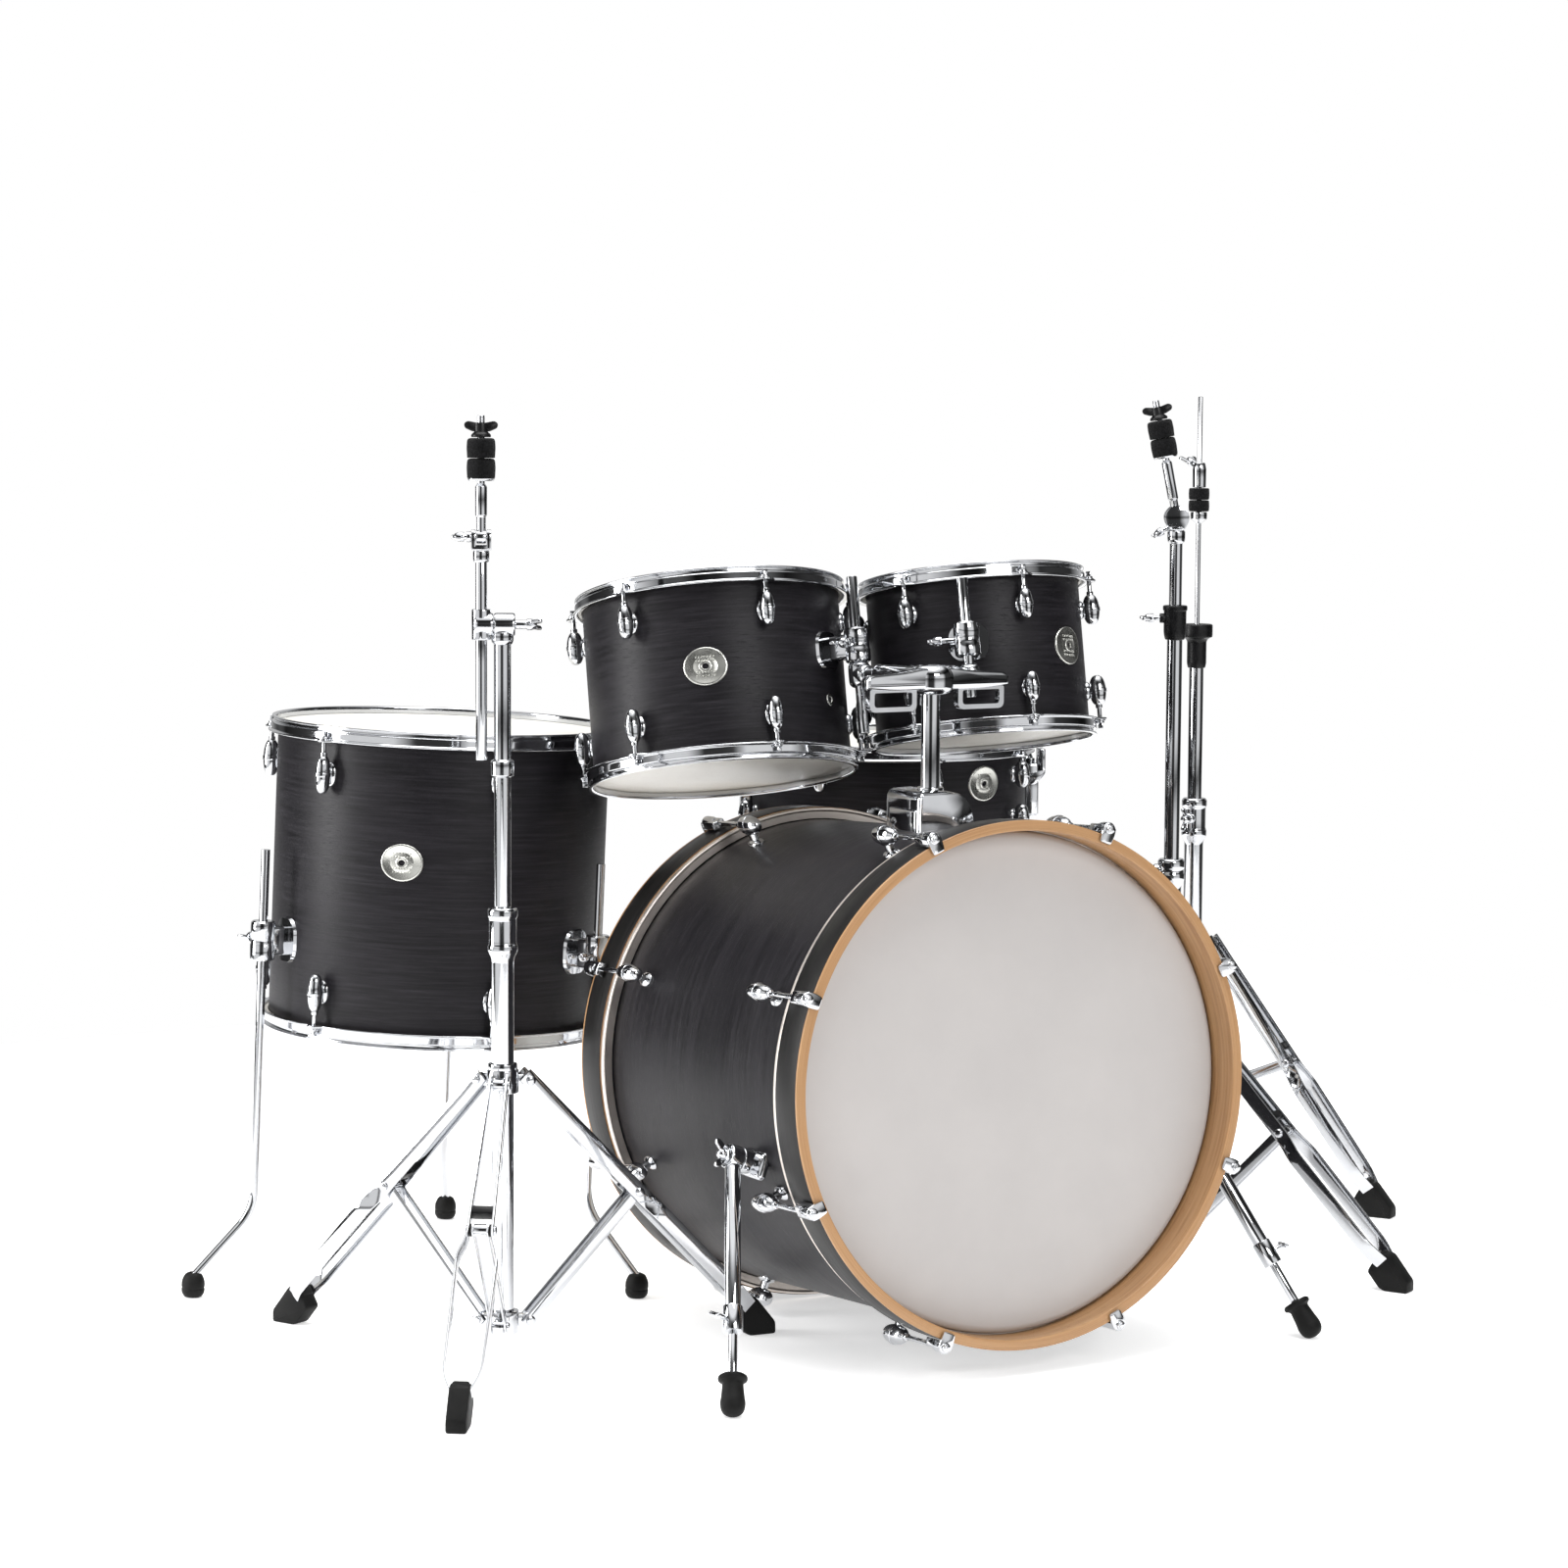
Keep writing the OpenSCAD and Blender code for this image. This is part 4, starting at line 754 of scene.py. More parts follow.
FLOOR_AT, FLOOR_T = (-348.3, 802.7, 306.9), (2.3, -20)
FLOOR = KIT @ shift(*FLOOR_AT) @ tilted(FLOOR_T)
drum("floor_tom", "kit", FLOOR, 203, 378, 6, 23.5 - 120, 58, 23)
badge("floor_tom_badge", "kit", FLOOR, 203, -128.1, 222)
for i, a in enumerate((182, 300, 60)):
    p = Piece(f"floor_leg_clamp_{i + 1}", FLOOR @ turn("Z", a))
    rod_clamp(p, 203, 235, 112, 24, 1 if i == 2 else -1)
    p.chromed("kit", "floor_leg_brackets")
    lean = math.radians(FLOOR_T[0])
    ground = (311 * math.sin(lean) * math.cos(math.radians(a - FLOOR_T[1])) - FLOOR_AT[2]) / math.cos(lean)
    z0 = ground + 0.6
    p = Piece(f"floor_leg_{i + 1}_rod", FLOOR @ turn("Z", a))
    path = rounded([(235, 0, 222), (235, 0, z0 + 100), (311, 0, z0 + 24), (311, 0, z0 + 16)], [0, 26, 14, 0],
        closed=False, steps=8)
    p.sweep(path, 5.25, seg=24)
    p.chromed(f"floor_leg_{i + 1}", f"floor_leg_{i + 1}")
    p = Piece(f"floor_leg_{i + 1}_foot", FLOOR @ turn("Z", a) @ shift(311, 0, z0))
    p.turned([(0, 0), (10, 0), (13.6, 5), (14, 10), (13.2, 11.4), (14, 13), (13.8, 20), (10, 28), (5.3, 30)],
        [0, 2, 4, 1, 1, 1, 5, 4, 0], ONE, 40)
    p.made(f"floor_leg_{i + 1}", "black_fitting", RUBBER, f"floor_leg_{i + 1}")

# ---- stands -------------------------------------------------------------

LEG_END, HUB_R = 25.0, 30.0
STANDS = {
    "left": dict(at=(-483.3, 331.9), turn=115.5, foot=312, collar=318, hub=44, mid=None),
    "right": dict(at=(485, 412), turn=297, foot=312, collar=318, hub=44, mid=None),
    "hihat": dict(at=(749, 732), turn=302, foot=270, collar=350, hub=150, mid=190),
    "snare": dict(at=(279, 757), turn=90, foot=235, collar=290, hub=60, mid=165),
}
for s in STANDS.values():
    s["leg"] = Vector((s["foot"] - HUB_R, LEG_END - s["collar"]))
    s["mid"] = s["mid"] or (s["collar"] - s["hub"]) / 2 * s["leg"].length / (s["collar"] - LEG_END)
    s["place"] = KIT @ shift(s["at"][0], s["at"][1]) @ turn("Z", s["turn"])


def strips(p, path, w, t, at, bend=10.0):
    """Two flat bars side by side along x, half-widths apart as in the path of (x, y) points."""
    line = rounded(path, bend, closed=False, steps=5)
    for side in (-1, 1):
        outline = [(q.x, side * q.y) for q in line] + [(q.x, side * (q.y + t)) for q in reversed(line)]
        p.plate(outline if side > 0 else outline[::-1], -w / 2, w / 2, at, 0.7)


def rivet(p, x, reach, at, r=3.0):
    """A riveted pivot across a leg, heads outside both bars."""
    spin = at @ shift(x) @ turn("X", 90)
    p.rod(r, -reach, reach, spin, seg=24)
    for side in (-1, 1):
        p.turned([(0, 0), (5.6, 0), (5.2, 2.2), (3, 3.2), (0, 3.4)], [0, 0.8, 1.2, 1, 0],
            at @ shift(x, side * reach) @ turn("X", -90 * side), 24)


def leg_place(s, i):
    v = s["leg"]
    return s["place"] @ turn("Z", i * 120) @ shift(HUB_R, 0, s["collar"]) @ turn("Y",
        math.degrees(math.atan2(-v.y, v.x)))


def leg(p, s, i):
    at, mid, length = leg_place(s, i), s["mid"], s["leg"].length
    path = [(-9, 8), (20, 8), (mid - 12, 12), (mid + 12, 12), (mid + 34, 21), (length - 34, 19), (length - 8, 6),
        (length + 6, 6)]
    strips(p, path, 18, 2.5, at, 16)
    rivet(p, 0, 10.6, at)
    rivet(p, mid, 14.6, at)


def leg_spacer(p, s, i):
    """Black plastic roller and bumper between the two bars at the middle pivot."""
    at, mid = leg_place(s, i), s["mid"]
    for side in (-1, 1):
        p.ring(3.2, 7.0, 9.6, 11.8, at @ shift(mid) @ turn("X", 90 * side), 28, 0.5)
    p.block((mid - 28, -12.2, -7), (mid - 18, 12.2, 7), at, 1.6)


def foot(p, s, i):
    """Wedge-shaped rubber foot with ribs."""
    at = s["place"] @ turn("Z", i * 120) @ shift(s["foot"]) @ turn("X", 90)
    side = rounded([(-30, 22), (-16, 46), (-2, 46), (24, 14), (24, 2), (22, 0), (-8, 0), (-14, 3)],
        [4, 4, 5, 4, 2, 1, 3, 2], steps=4)
    p.plate(side, -11.4, 11.4, at, 2.6)
    rib = rounded([(-27, 21), (-16, 41), (-6, 41), (22, 12), (22, 3), (-8, 2), (-13, 5)], 3, steps=3)
    for z in (-9.3, -3.1, 3.1, 9.3):
        p.plate([(q.x * 1.045 + 0.3, q.y * 1.02 + 0.2) for q in rib], z - 1.4, z + 1.4, at, 0.8)
    neck = leg_place(s, i)
    p.block((s["leg"].length - 26, -9.6, -8.2), (s["leg"].length + 2, 9.6, 8.2), neck, 3.0, 3)


def brace(p, s, i):
    v = s["leg"]
    m = Vector((HUB_R, s["collar"])) + v.normalized() * s["mid"] - Vector((HUB_R, s["hub"]))
    at = s["place"] @ turn("Z", i * 120) @ shift(HUB_R, 0, s["hub"]) @ turn("Y", -math.degrees(math.atan2(m.y, m.x)))
    length = m.length
    strips(p, [(-7, 7.2), (length + 7, 7.2)], 14, 2, at)
    p.ring(3.1, 7.0, -7.2, 7.2, at @ shift(length) @ turn("X", 90), 32, 0.5)
    rivet(p, 0, 9.2, at)


def eared(p, s, z, bore):
    at = s["place"] @ shift(z=z)
    p.ring(bore, 18, -13, 13, at, 56, 1.4)
    for i in range(3):
        ear = at @ turn("Z", i * 120)
        p.block((15, -6, -7), (HUB_R, 6, 7), ear, 1.2)
        p.ring(3.1, 7.0, -6, 6, ear @ shift(HUB_R) @ turn("X", 90), 32, 1.0)


def sleeve(p, at, z0, low, high, inner, wing_turn=0.0):
    """Lower tube with a flared clamp sleeve and its wing bolt pointing along -y."""
    p.lathe(rounded([(inner, z0 + 20), (inner, high), (15, high), (17, high - 3), (17, high - 10), (15.6, high - 13),
        (15.6, low + 12),
        (17, low + 9), (17, low + 3), (12.7, low - 6), (12.7, z0), (inner, z0)],
        [0.3, 0.6, 1, 1.5, 2, 2, 2, 2, 2, 4, 0.5, 0.3], steps=3)[::-1], at, 56, closed=True)
    z = low + (high - low) * 0.5
    boss = at @ turn("Z", wing_turn) @ shift(0, -12, z) @ turn("X", 90)
    p.turned([(0, 0), (7.4, 0), (7.4, 9), (5.4, 11), (0, 11)], [0, 1, 1.5, 1, 0], boss, 32)
    wing_bolt(p, boss @ turn("Z", 90), 18, 16, 15)


def stand_legs(key, names):
    """Legs and braces of one stand: names holds (leg body, leg node, brace body, brace node) for each leg."""
    s = STANDS[key]
    for i, (leg_body, leg_node, brace_body, brace_node) in enumerate(names):
        p = Piece(f"{key}_leg_{i + 1}_bars", ONE)
        leg(p, s, i)
        p.chromed(leg_body, leg_node)
        p = Piece(f"{key}_leg_{i + 1}_foot", ONE)
        foot(p, s, i)
        p.made(leg_body, "black_fitting", RUBBER, leg_node)
        p = Piece(f"{key}_leg_{i + 1}_spacer", ONE)
        leg_spacer(p, s, i)
        p.made(leg_body, "black_fitting", BLACK, leg_node)
        p = Piece(f"{key}_brace_{i + 1}_bars", ONE)
        brace(p, s, i)
        p.chromed(brace_body, brace_node)


stand_legs("left", [(f"left_leg_{i}", f"left_leg_{i}", f"left_brace_{i}", f"left_brace_{i}") for i in (1, 2, 3)])
stand_legs("right", [("kit", "right_stand_legs", "kit", "right_stand_legs")] * 3)
stand_legs("hihat", [("kit", "hihat_stand_base", "kit", "hihat_stand_base")] * 3)
stand_legs("snare", [("kit", "snare_stand_base", "kit", "snare_stand_base")] * 3)


def stand_tube(key, z0, low, high, inner, wing, node, collars):
    s = STANDS[key]
    p = Piece(f"{key}_stand_tube", ONE)
    sleeve(p, s["place"], z0, low, high, inner, wing)
    for z, bore in collars:
        eared(p, s, z, bore)
    p.chromed("kit", node)


stand_tube("left", 48, 462, 514, 9.6, 60 - 115.5 + 90, "left_stand_base", [(44, 5)])
stand_tube("right", 48, 482, 510, 9.6, 150 - 297 + 90, "right_stand_base", [(44, 5), (318, 12.7)])
stand_tube("snare", 64, 320, 360, 9.6, 0, "snare_stand_base", [(60, 5), (290, 12.7)])
stand_tube("hihat", 130, 493, 546, 9.6, 122 - 302 + 180, "hihat_stand_base", [(150, 12.7), (350, 12.7)])
p = Piece("left_stand_collar", ONE)
eared(p, STANDS["left"], 318, 12.76)
p.ring(12.76, 16.5, 12, 20, STANDS["left"]["place"] @ shift(z=318), 48, 1)
p.chromed("left_collar", "left_collar")


def cymbal_top(name, body, place, rod_len, seat_z, wing, *nodes):
    """Cymbal rod with washer, felt sleeve and wing nut; the tilter's pivot runs along x."""
    p = Piece(name + "_rod", place)
    p.rod(7.4, -5.4, 5.4, turn("Y", 90), 36, 1)
    p.rod(3, -10.8, 10.8, turn("Y", 90), 24)
    p.turned([(0, 0), (5.2, 0), (5.2, 22), (6.5, 24), (6.5, seat_z - 14), (4, seat_z - 11), (4, rod_len), (0, rod_len)],
        [0, 0.5, 1, 1, 1, 1, 0.8, 0], ONE, 32)
    for k in range(16):
        z = rod_len - 3 - k * 1.6
        p.ring(3.7, 4.25, z, z + 0.8, ONE, 24, 0.3)
    p.lathe(rounded([(4, seat_z - 8), (14, seat_z - 8), (15.4, seat_z - 5.2), (4, seat_z - 5.2)][::-1], 0.7,
        steps=2)[::-1], ONE, 48, closed=True)
    p.chromed(body, *nodes)
    p = Piece(name + "_felts", place)
    for low, high in ((seat_z - 5, seat_z + 16.6), (seat_z + 17.2, seat_z + 39)):
        p.lathe(rounded([(4.4, low), (4.4, high), (15.4, high), (16, (low + high) / 2), (15.4, low)][::-1],
            [0.5, 1.6, 4, 1.6, 0.5][::-1],
            steps=3), ONE, 48, closed=True)
    p.made(body, "black_fitting", FELT, *nodes)
    p = Piece(name + "_wing_nut", place)
    p.lathe(rounded([(4.2, seat_z + 40), (11, seat_z + 40), (11, seat_z + 43), (7.4, seat_z + 46), (7.4, seat_z + 56),
        (4.2, seat_z + 56)][::-1],
        [0.4, 0.8, 1, 2, 1, 0.4], steps=2), ONE, 40, closed=True)
    lobe = rounded([(5, 0), (9, -1), (18, 3), (19, 8), (15, 11), (5, 9)], [0, 3, 3, 3, 4, 0], steps=4)
    for side in (wing, wing + 180):
        p.plate(lobe, -3.0, 3.0, shift(z=seat_z + 47) @ turn("Z", side) @ turn("X", 90), 2.0)
    p.made(body, "black_fitting", BLACK, *nodes)


# Left boom stand: x points from the tube to the boom arm
BOOM = KIT @ shift(-483.3, 331.9) @ turn("Z", 154.5)
p = Piece("left_mid_tube_body", BOOM)
p.turned([(8, 270), (9.5, 270), (9.5, 660), (13, 662), (13, 678), (9.5, 680), (9.5, 812), (12, 815), (0, 815)],
    [0.3, 0.4, 0.3, 1, 1, 0.3, 0.5, 1, 0], ONE, 48)
p.lathe(rounded([(5.06, -14), (12, -14), (13, -12), (13, 7), (12.4, 9), (5.06, 9)], 0.8, steps=2),
    shift(z=830) @ turn("Y", 90), 48, closed=True)
p.turned([(0, 808), (10.6, 808), (12.4, 812), (12.4, 822), (0, 824)], [0, 1, 2, 2, 0], ONE, 44)
p.rod(5, -30, -13, shift(z=830) @ turn("Y", 90), 28)
wing_bolt(p, shift(-12, 0, 830) @ turn("Y", -90) @ turn("Z", 70), 18, 17, 16)
p.chromed("left_mid_tube", "left_mid_tube")
p = Piece("left_boom_clamp_body", BOOM)
p.turned([(0, 9.9), (12, 9.9), (13, 12), (13, 28), (11, 31.4), (0, 31.4)], [0, 1, 1.5, 2, 2, 0],
    shift(z=830) @ turn("Y", 90), 48)
p.rod(5, -5, 10.4, shift(z=830) @ turn("Y", 90), 28)
p.ring(6.42, 10.6, -17, 17, shift(23.3, 0, 830), 44, 1.2)
p.chromed("left_boom_clamp", "left_boom_clamp")
p = Piece("left_boom_arm_rod", BOOM @ shift(23.3))
p.rod(6.35, 679, 905, ONE, 36, 1)
p.turned([(0, 899), (8, 899), (9, 902), (9, 912), (0, 914)], [0, 1, 1, 2, 0], ONE, 40)
for side in (-1, 1):
    p.plate(rounded([(-8, -14), (8, -14), (8, 2), (5, 8), (-5, 8), (-8, 2)], [2, 2, 4, 4, 4, 4], steps=4), 6.1, 11,
        shift(z=927) @ turn("Z", 90) @ turn("X", 90) if side > 0 else shift(z=927) @ turn("Z", -90) @ turn("X", 90),
        0.8)
p.block((-11, -8, 912), (11, 8, 918), edge=1.6)
p.rod(6, 11, 16, shift(z=927) @ turn("Y", 90), 28)
wing_bolt(p, shift(10, 0, 927) @ turn("Y", 90) @ turn("Z", 90), 12, 13, 13, 5)
p.chromed("left_boom_arm", "left_boom_arm")
cymbal_top("left_cymbal", "left_cymbal_seat", BOOM @ shift(23.3, 0, 927), 134, 70, 0, "left_cymbal_seat")

# Right cymbal stand: x points to the wing bolts
SEAT = KIT @ shift(485, 412) @ turn("Z", 150)
p = Piece("right_mid_tube_body", SEAT)
p.lathe(rounded([(7.98, 280), (9.5, 280), (9.5, 790), (7.98, 790)][::-1], 0.4, steps=2), ONE, 48, closed=True)
p.chromed("right_mid_tube", "right_mid_tube")
p = Piece("right_clamp_body", SEAT)
p.lathe(rounded([(8.1, 784), (12, 784), (14, 792), (14, 820), (15.2, 821.4), (15.2, 826), (14, 827), (8.1, 827)][::-1],
    [0.5, 2, 4, 1, 0.6, 0.6, 0.5, 0.4][::-1], steps=3), ONE, 48, closed=True)
p.rod(6, 12, 19, shift(z=811) @ turn("Y", 90), 28)
p.made("right_mid_tube", "black_fitting", BLACK, "right_mid_tube")
p = Piece("right_clamp_wing", SEAT)
wing_bolt(p, shift(14, 0, 811) @ turn("Y", 90) @ turn("Z", 90), 16, 16, 15, 5.4)
p.chromed("right_mid_tube", "right_mid_tube")
p = Piece("right_top_tube_body", SEAT)
p.turned([(6.5, 600), (7.9, 600), (7.9, 904), (10.4, 906), (11, 909), (11, 920), (0, 922)], [0.3, 0.4, 0.4, 1, 1, 2, 0],
    ONE, 48)
for side in (0, 180):
    p.plate(rounded([(-9, -15), (9, -15), (15, -4), (15, 5), (7, 15), (-7, 15), (-15, 5), (-15, -4)],
        [2, 2, 9, 9, 9, 9, 9, 9], steps=5), 6.1, 11,
        shift(z=936) @ turn("Z", side) @ turn("X", 90), 0.8)
p.block((-8, -11, 920), (8, 11, 926), edge=1.6)
p.rod(9, 11, 14, shift(z=936) @ turn("X", 90), 36)
p.rod(5, 14, 16, shift(z=936) @ turn("X", 90), 28)
wing_bolt(p, shift(9, 0, 924) @ turn("Y", 120) @ turn("Z", 90), 12, 14, 14, 5)
p.chromed("right_top_tube", "right_top_tube")
cymbal_top("right_cymbal", "right_cymbal_seat", SEAT @ shift(z=936) @ turn("Y", 11) @ turn("Z", 90), 147, 83, 90,
    "right_cymbal_seat")

# Hi-hat stand
HIHAT = STANDS["hihat"]["place"]
PEDAL = HIHAT @ turn("Z", 122 - 302)
p = Piece("hihat_upper_tube_body", HIHAT)
p.lathe(rounded([(8, 300), (9.5, 300), (9.5, 724), (3.4, 724), (3.4, 720), (8, 716)][::-1], 0.4, steps=2), ONE, 48,
    closed=True)
p.chromed("hihat_upper_tube", "hihat_upper_tube")
p = Piece("hihat_cup", HIHAT)
p.lathe(rounded([(3.6, 722), (11.6, 722), (13, 728), (13, 758), (16, 762), (20.6, 763.5), (21, 766), (21, 780),
    (19, 781), (3.6, 781)][::-1],
    [0.3, 1, 2, 3, 3, 1, 1, 1, 1, 0.4][::-1], steps=3), ONE, 48, closed=True)
p.made("hihat_upper_tube", "black_fitting", BLACK, "hihat_upper_tube")
p = Piece("hihat_rod_body", HIHAT)
p.rod(3.2, 104, 1085, ONE, 24, 0.8)
p.lathe(rounded([(3.3, 916), (3.3, 921), (11, 931), (11, 922)], 0.6), ONE, 40, closed=True)
p.lathe(rounded([(3.3, 964), (9, 964), (9, 990), (7.4, 997), (3.3, 997)][::-1], [0.4, 1, 2, 1.4, 0.4], steps=3), ONE,
    44, closed=True)
p.lathe(rounded([(3.3, 922), (10, 922), (11, 924), (11, 931), (3.3, 931)][::-1], 0.6, steps=2), ONE, 44, closed=True)
wing_bolt(p, turn("Z", 150) @ shift(z=986) @ turn("Y", 58) @ turn("Z", 90), 22, 14, 14, 5)
p.rod(6, 96, 106, ONE, 28)
p.block((-2, -8, 72), (1, 8, 98), turn("Z", 122 - 302), 0.6)
p.chromed("hihat_rod", "hihat_rod")
p = Piece("hihat_clutch_felts", HIHAT)
for low, high in ((932, 946.8), (947.6, 963)):
    p.lathe(rounded([(3.4, low), (13.4, low), (14, (low + high) / 2), (13.4, high), (3.4, high)][::-1],
        [0.5, 1.6, 4, 1.6, 0.5], steps=3),
        ONE, 44, closed=True)
p.made("hihat_rod", "black_fitting", FELT, "hihat_rod")
p = Piece("hihat_pedal_frame", PEDAL)
for side in (-1, 1):
    p.plate(rounded([(-8, 0), (8, 0), (8, 118), (4, 128), (-4, 128), (-8, 118)], [1, 1, 3, 4, 4, 3], steps=3), -4, 4,
        shift(0, side * 40) @ turn("X", 90), 1.0)
    p.bar((0, side * 40, 6), (282, side * 30, 6), 3, 20)
    p.plate(rounded([(290, 8), (310, 8), (310, 24), (305, 32), (295, 32), (290, 24)], [0, 0, 4, 4, 4, 4], steps=4),
        -4, 4,
        shift(0, side * 33) @ turn("X", 90), 0.9)
p.block((-10, -44, 118), (10, 44, 128), edge=3, steps=3)
p.block((280, -38, 0), (336, 38, 10), edge=2.4)
p.made("kit", "chrome_steel", SATIN, "hihat_stand_base")
p = Piece("hihat_footboard_plate", PEDAL @ shift(300, 0, 24) @ turn("Y", math.degrees(math.atan2(92 - 24, 300 - 26))))
p.plate(rounded([(-264, -22), (-40, -27), (-4, -27), (-4, 27), (-40, 27), (-264, 22)], [10, 30, 3, 3, 30, 10],
    steps=5), 2, 6.4, ONE, 1.0)
for k in range(11):
    x = -250 + k * 19
    p.block((x, -15, 6.0), (x + 7, 15, 8.0), edge=0.9)
p.block((-7, -27, -5), (7, 27, 4), edge=2.2)
p.rod(3, -38, 38, turn("X", 90), 24)
p.made("hihat_footboard", "chrome_steel", SATIN, "hihat_footboard")

# ---- snare drum ---------------------------------------------------------

SNARE_Z = 508
SNARE = KIT @ shift(279, 757, SNARE_Z)
drum("snare", "snare", SNARE, 178, 139, 8, 32.1, 42, 17)
badge("snare_badge", "snare", SNARE, 178, -78.3, 89)
p = Piece("snare_basket_arms", KIT @ shift(279, 757, 0))
p.lathe(rounded([(8, 210), (9.5, 210), (9.5, 382), (8, 382)][::-1], 0.4, steps=2), ONE, 48, closed=True)
p.turned([(0, 380), (17, 380), (20, 384), (20, 414), (16, 420), (0, 420)], [0, 2, 3, 4, 3, 0], ONE, 48)
pads = Piece("snare_basket_pads", KIT @ shift(279, 757, 0))
for a in (22.5, 142.5, 262.5):
    at = turn("Z", a)
    p.sweep(rounded([(14, 0, 408), (150, 0, 454), (194, 0, SNARE_Z - 16), (205, 0, SNARE_Z - 13)], [0, 30, 8, 0],
        closed=False, steps=6), 6, at)
    pads.block((180, -9, SNARE_Z - 12), (208, 9, SNARE_Z - 0.3), at, 2.4, 3)
    pads.block((203, -9, SNARE_Z - 8), (208, 9, SNARE_Z + 20), at, 1.8, 3)
p.chromed("snare", "snare_basket")
pads.made("snare", "black_fitting", RUBBER, "snare_basket")
STRAINER = SNARE @ turn("Z", -24)
p = Piece("snare_throw_off", STRAINER)
p.block((177.2, -14, 34), (196, 14, 102), edge=3, steps=3)
p.block((-192, -12, 34), (-177.2, 12, 74), edge=3, steps=3)
p.rod(5.5, 102, 108, shift(187), 28)
for side in (-1, 1):
    p.block((side * 134 - 8, -22, 5.2), (side * 134 + 8, 22, 8.2), edge=0.8)
p.chromed("snare", "snare_strainer")
p = Piece("snare_wires", STRAINER)
for k in range(-4, 5):
    coil = [(x * 0.75, k * 4.6 + 1.0 * math.cos(x * 1.35), 6.8 + 1.0 * math.sin(x * 1.35)) for x in range(-168, 169)]
    p.sweep(coil, 0.36, ONE, 6)
p.made("snare", "chrome_steel", SATIN, "snare_strainer")
p = Piece("snare_lever", STRAINER @ shift(186, 0, 80))
p.rod(4, -17, 17, turn("X", 90), 28)
for side in (-1, 1):
    p.plate(rounded([(-4, -5), (5, -5), (18, 8), (18, 16), (-4, 8)], [4, 4, 4, 3, 4], steps=4), -2, 2,
        shift(0, side * 16.5) @ turn("X", 90), 0.7)
p.block((11, -18.5, 10), (18, 18.5, 42), edge=2.6, steps=3)
p.chromed("strainer_lever", "strainer_lever")

# ---- floor, light and camera --------------------------------------------

mesh = bpy.data.meshes.new("studio_floor")
mesh.from_pydata([(-2.2, -2.2, 0), (2.2, -2.2, 0), (2.2, 2.2, 0), (-2.2, 2.2, 0)], [], [(0, 1, 2, 3)])
s = Shader("studio_white", (0.88, 0.88, 0.88), 0.8, Specular_IOR_Level=0.15, Emission_Color=(1, 1, 1, 1),
    Emission_Strength=0.55)
mesh.materials.append(s.mat)
floor = bpy.data.objects.new("studio_floor", mesh)
bpy.context.scene.collection.objects.link(floor)

scene = bpy.context.scene
scene.view_settings.view_transform = "Standard"
world = bpy.data.worlds.new("studio")
scene.world = world
world.use_nodes = True
tree = world.node_tree
ground = tree.nodes["Background"]


def sky(kind, **sockets):
    n = tree.nodes.new(kind)
    for k, v in sockets.items():
        target = n.inputs[int(k[1:])]
        if isinstance(v, bpy.types.NodeSocket):
            tree.links.new(v, target)
        else:
            target.default_value = v
    return n


def bands(value, *stops):
    n = sky("ShaderNodeValToRGB", i0=value)
    while len(n.color_ramp.elements) < len(stops):
        n.color_ramp.elements.new(0.5)
    for e, (at, v) in zip(n.color_ramp.elements, stops):
        e.position, e.color = at, (v, v, v, 1)
    return n.outputs[0]


def sky_math(how, a, b):
    n = sky("ShaderNodeMath", i0=a, i1=b)
    n.operation = how
    return n.outputs[0]


# Bright panels with dark gaps between them, so that the chrome has something to mirror
ray = sky("ShaderNodeSeparateXYZ", i0=tree.nodes.new("ShaderNodeTexCoord").outputs["Generated"])
round_about = sky_math("FRACT", sky_math("ADD", sky_math("DIVIDE",
    sky_math("ARCTAN2", ray.outputs[1], ray.outputs[0]), 2 * math.pi), 1.333), 0.0)
panels = bands(round_about, (0.0, 0.05), (0.03, 0.06), (0.06, 1.0), (0.17, 1.0), (0.21, 0.06), (0.34, 0.04),
    (0.41, 0.6),
    (0.59, 0.6), (0.65, 0.03), (0.76, 0.05), (0.81, 1.0), (0.92, 1.0), (0.96, 0.05), (1.0, 0.05))
high = sky("ShaderNodeMapRange", i0=ray.outputs[2])
high.inputs[1].default_value = -1.0
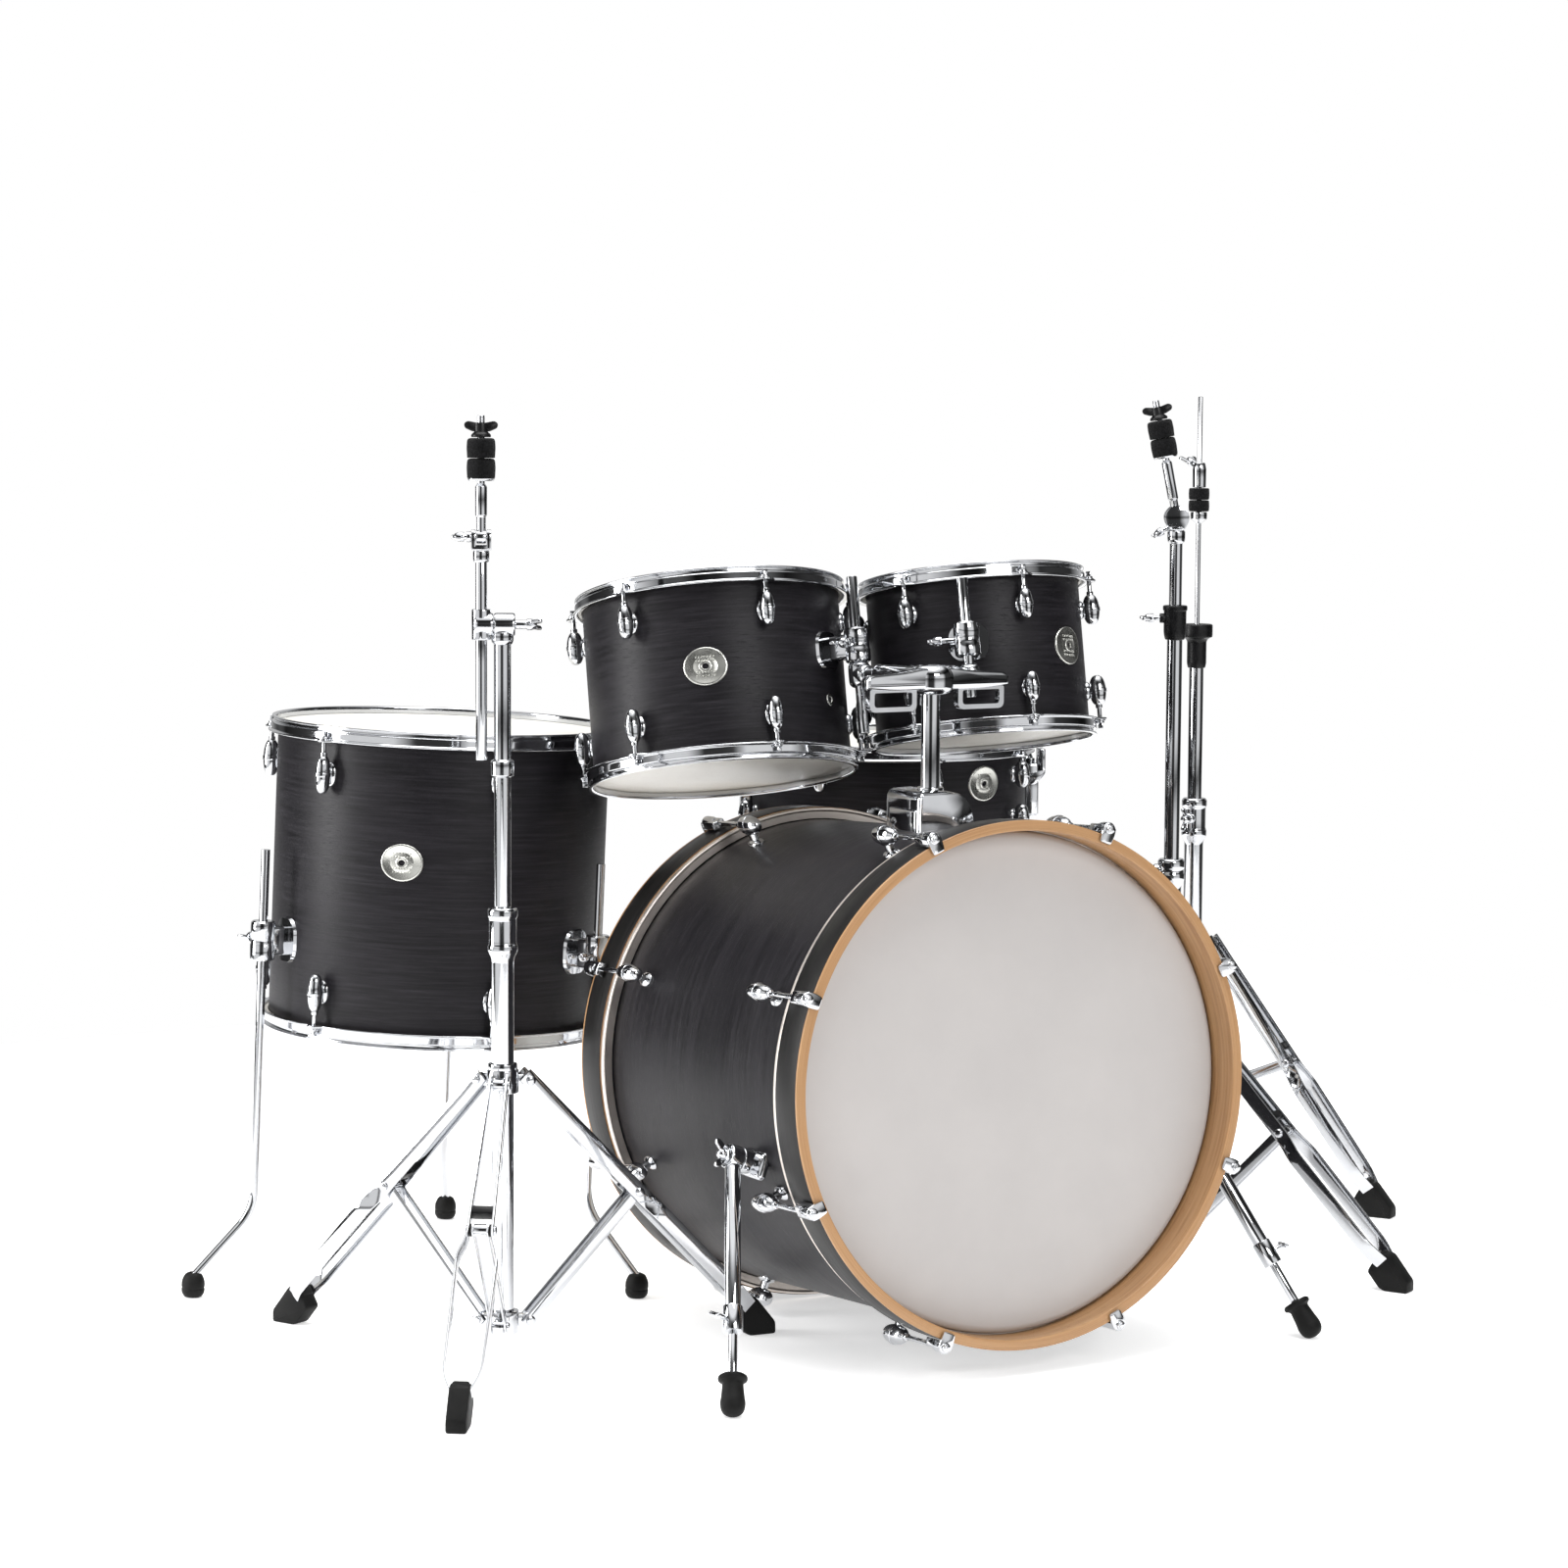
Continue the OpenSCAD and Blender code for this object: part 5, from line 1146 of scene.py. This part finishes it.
level = bands(high.outputs[0], (0.0, 1.0), (0.46, 1.0), (0.495, 0.12), (0.53, 1.0), (0.68, 1.0), (0.74, 0.10),
    (0.84, 0.2), (0.91, 1.3), (1.0, 1.3))
top = bands(high.outputs[0], (0.0, 0.0), (0.78, 0.0), (0.90, 1.0), (1.0, 1.0))
blend = sky("ShaderNodeMix", i2=sky_math("MULTIPLY", panels, level), i3=level)
tree.links.new(top, blend.inputs[0])
pick = sky("ShaderNodeMix", i0=tree.nodes.new("ShaderNodeLightPath").outputs["Is Camera Ray"], i2=blend.outputs[0],
    i3=1.0)
tree.links.new(pick.outputs[0], ground.inputs[0])
ground.inputs[1].default_value = 1.0


def softbox(name, at, aim, wide, tall, power):
    light = bpy.data.lights.new(name, "AREA")
    light.shape, light.size, light.size_y, light.energy = "RECTANGLE", wide, tall, power
    o = bpy.data.objects.new(name, light)
    o.location = at
    o.rotation_mode = "QUATERNION"
    o.rotation_quaternion = (Vector(aim) - Vector(at)).to_track_quat("-Z", "Y")
    scene.collection.objects.link(o)


softbox("left_strip", (-2.7, 0.9, 1.1), (0, 0, 0.5), 0.8, 2.0, 62)
softbox("overhead", (-0.3, -0.2, 3.4), (0, 0, 0.3), 2.6, 1.8, 80)
softbox("front_fill", (-0.2, -4.6, 2.8), (0, 0, 0.4), 2.0, 1.2, 69)

YAW, PITCH, ROLL = 0.5233, -0.0960, 0.0059
forward = Vector((math.sin(YAW) * math.cos(PITCH), math.cos(YAW) * math.cos(PITCH), math.sin(PITCH)))
right = Vector((math.cos(YAW), -math.sin(YAW), 0))
up = right.cross(forward)
right, up = (math.cos(ROLL) * right + math.sin(ROLL) * up, -math.sin(ROLL) * right + math.cos(ROLL) * up)
data = bpy.data.cameras.new("camera")
data.sensor_width, data.lens = 36.0, 94.03
data.clip_start, data.clip_end = 0.1, 60
camera = bpy.data.objects.new("camera", data)
camera.matrix_world = Matrix((
    (right.x, up.x, -forward.x, -2.5959),
    (right.y, up.y, -forward.y, -4.2779),
    (right.z, up.z, -forward.z, 1.0912),
    (0, 0, 0, 1)))
scene.collection.objects.link(camera)
scene.camera = camera
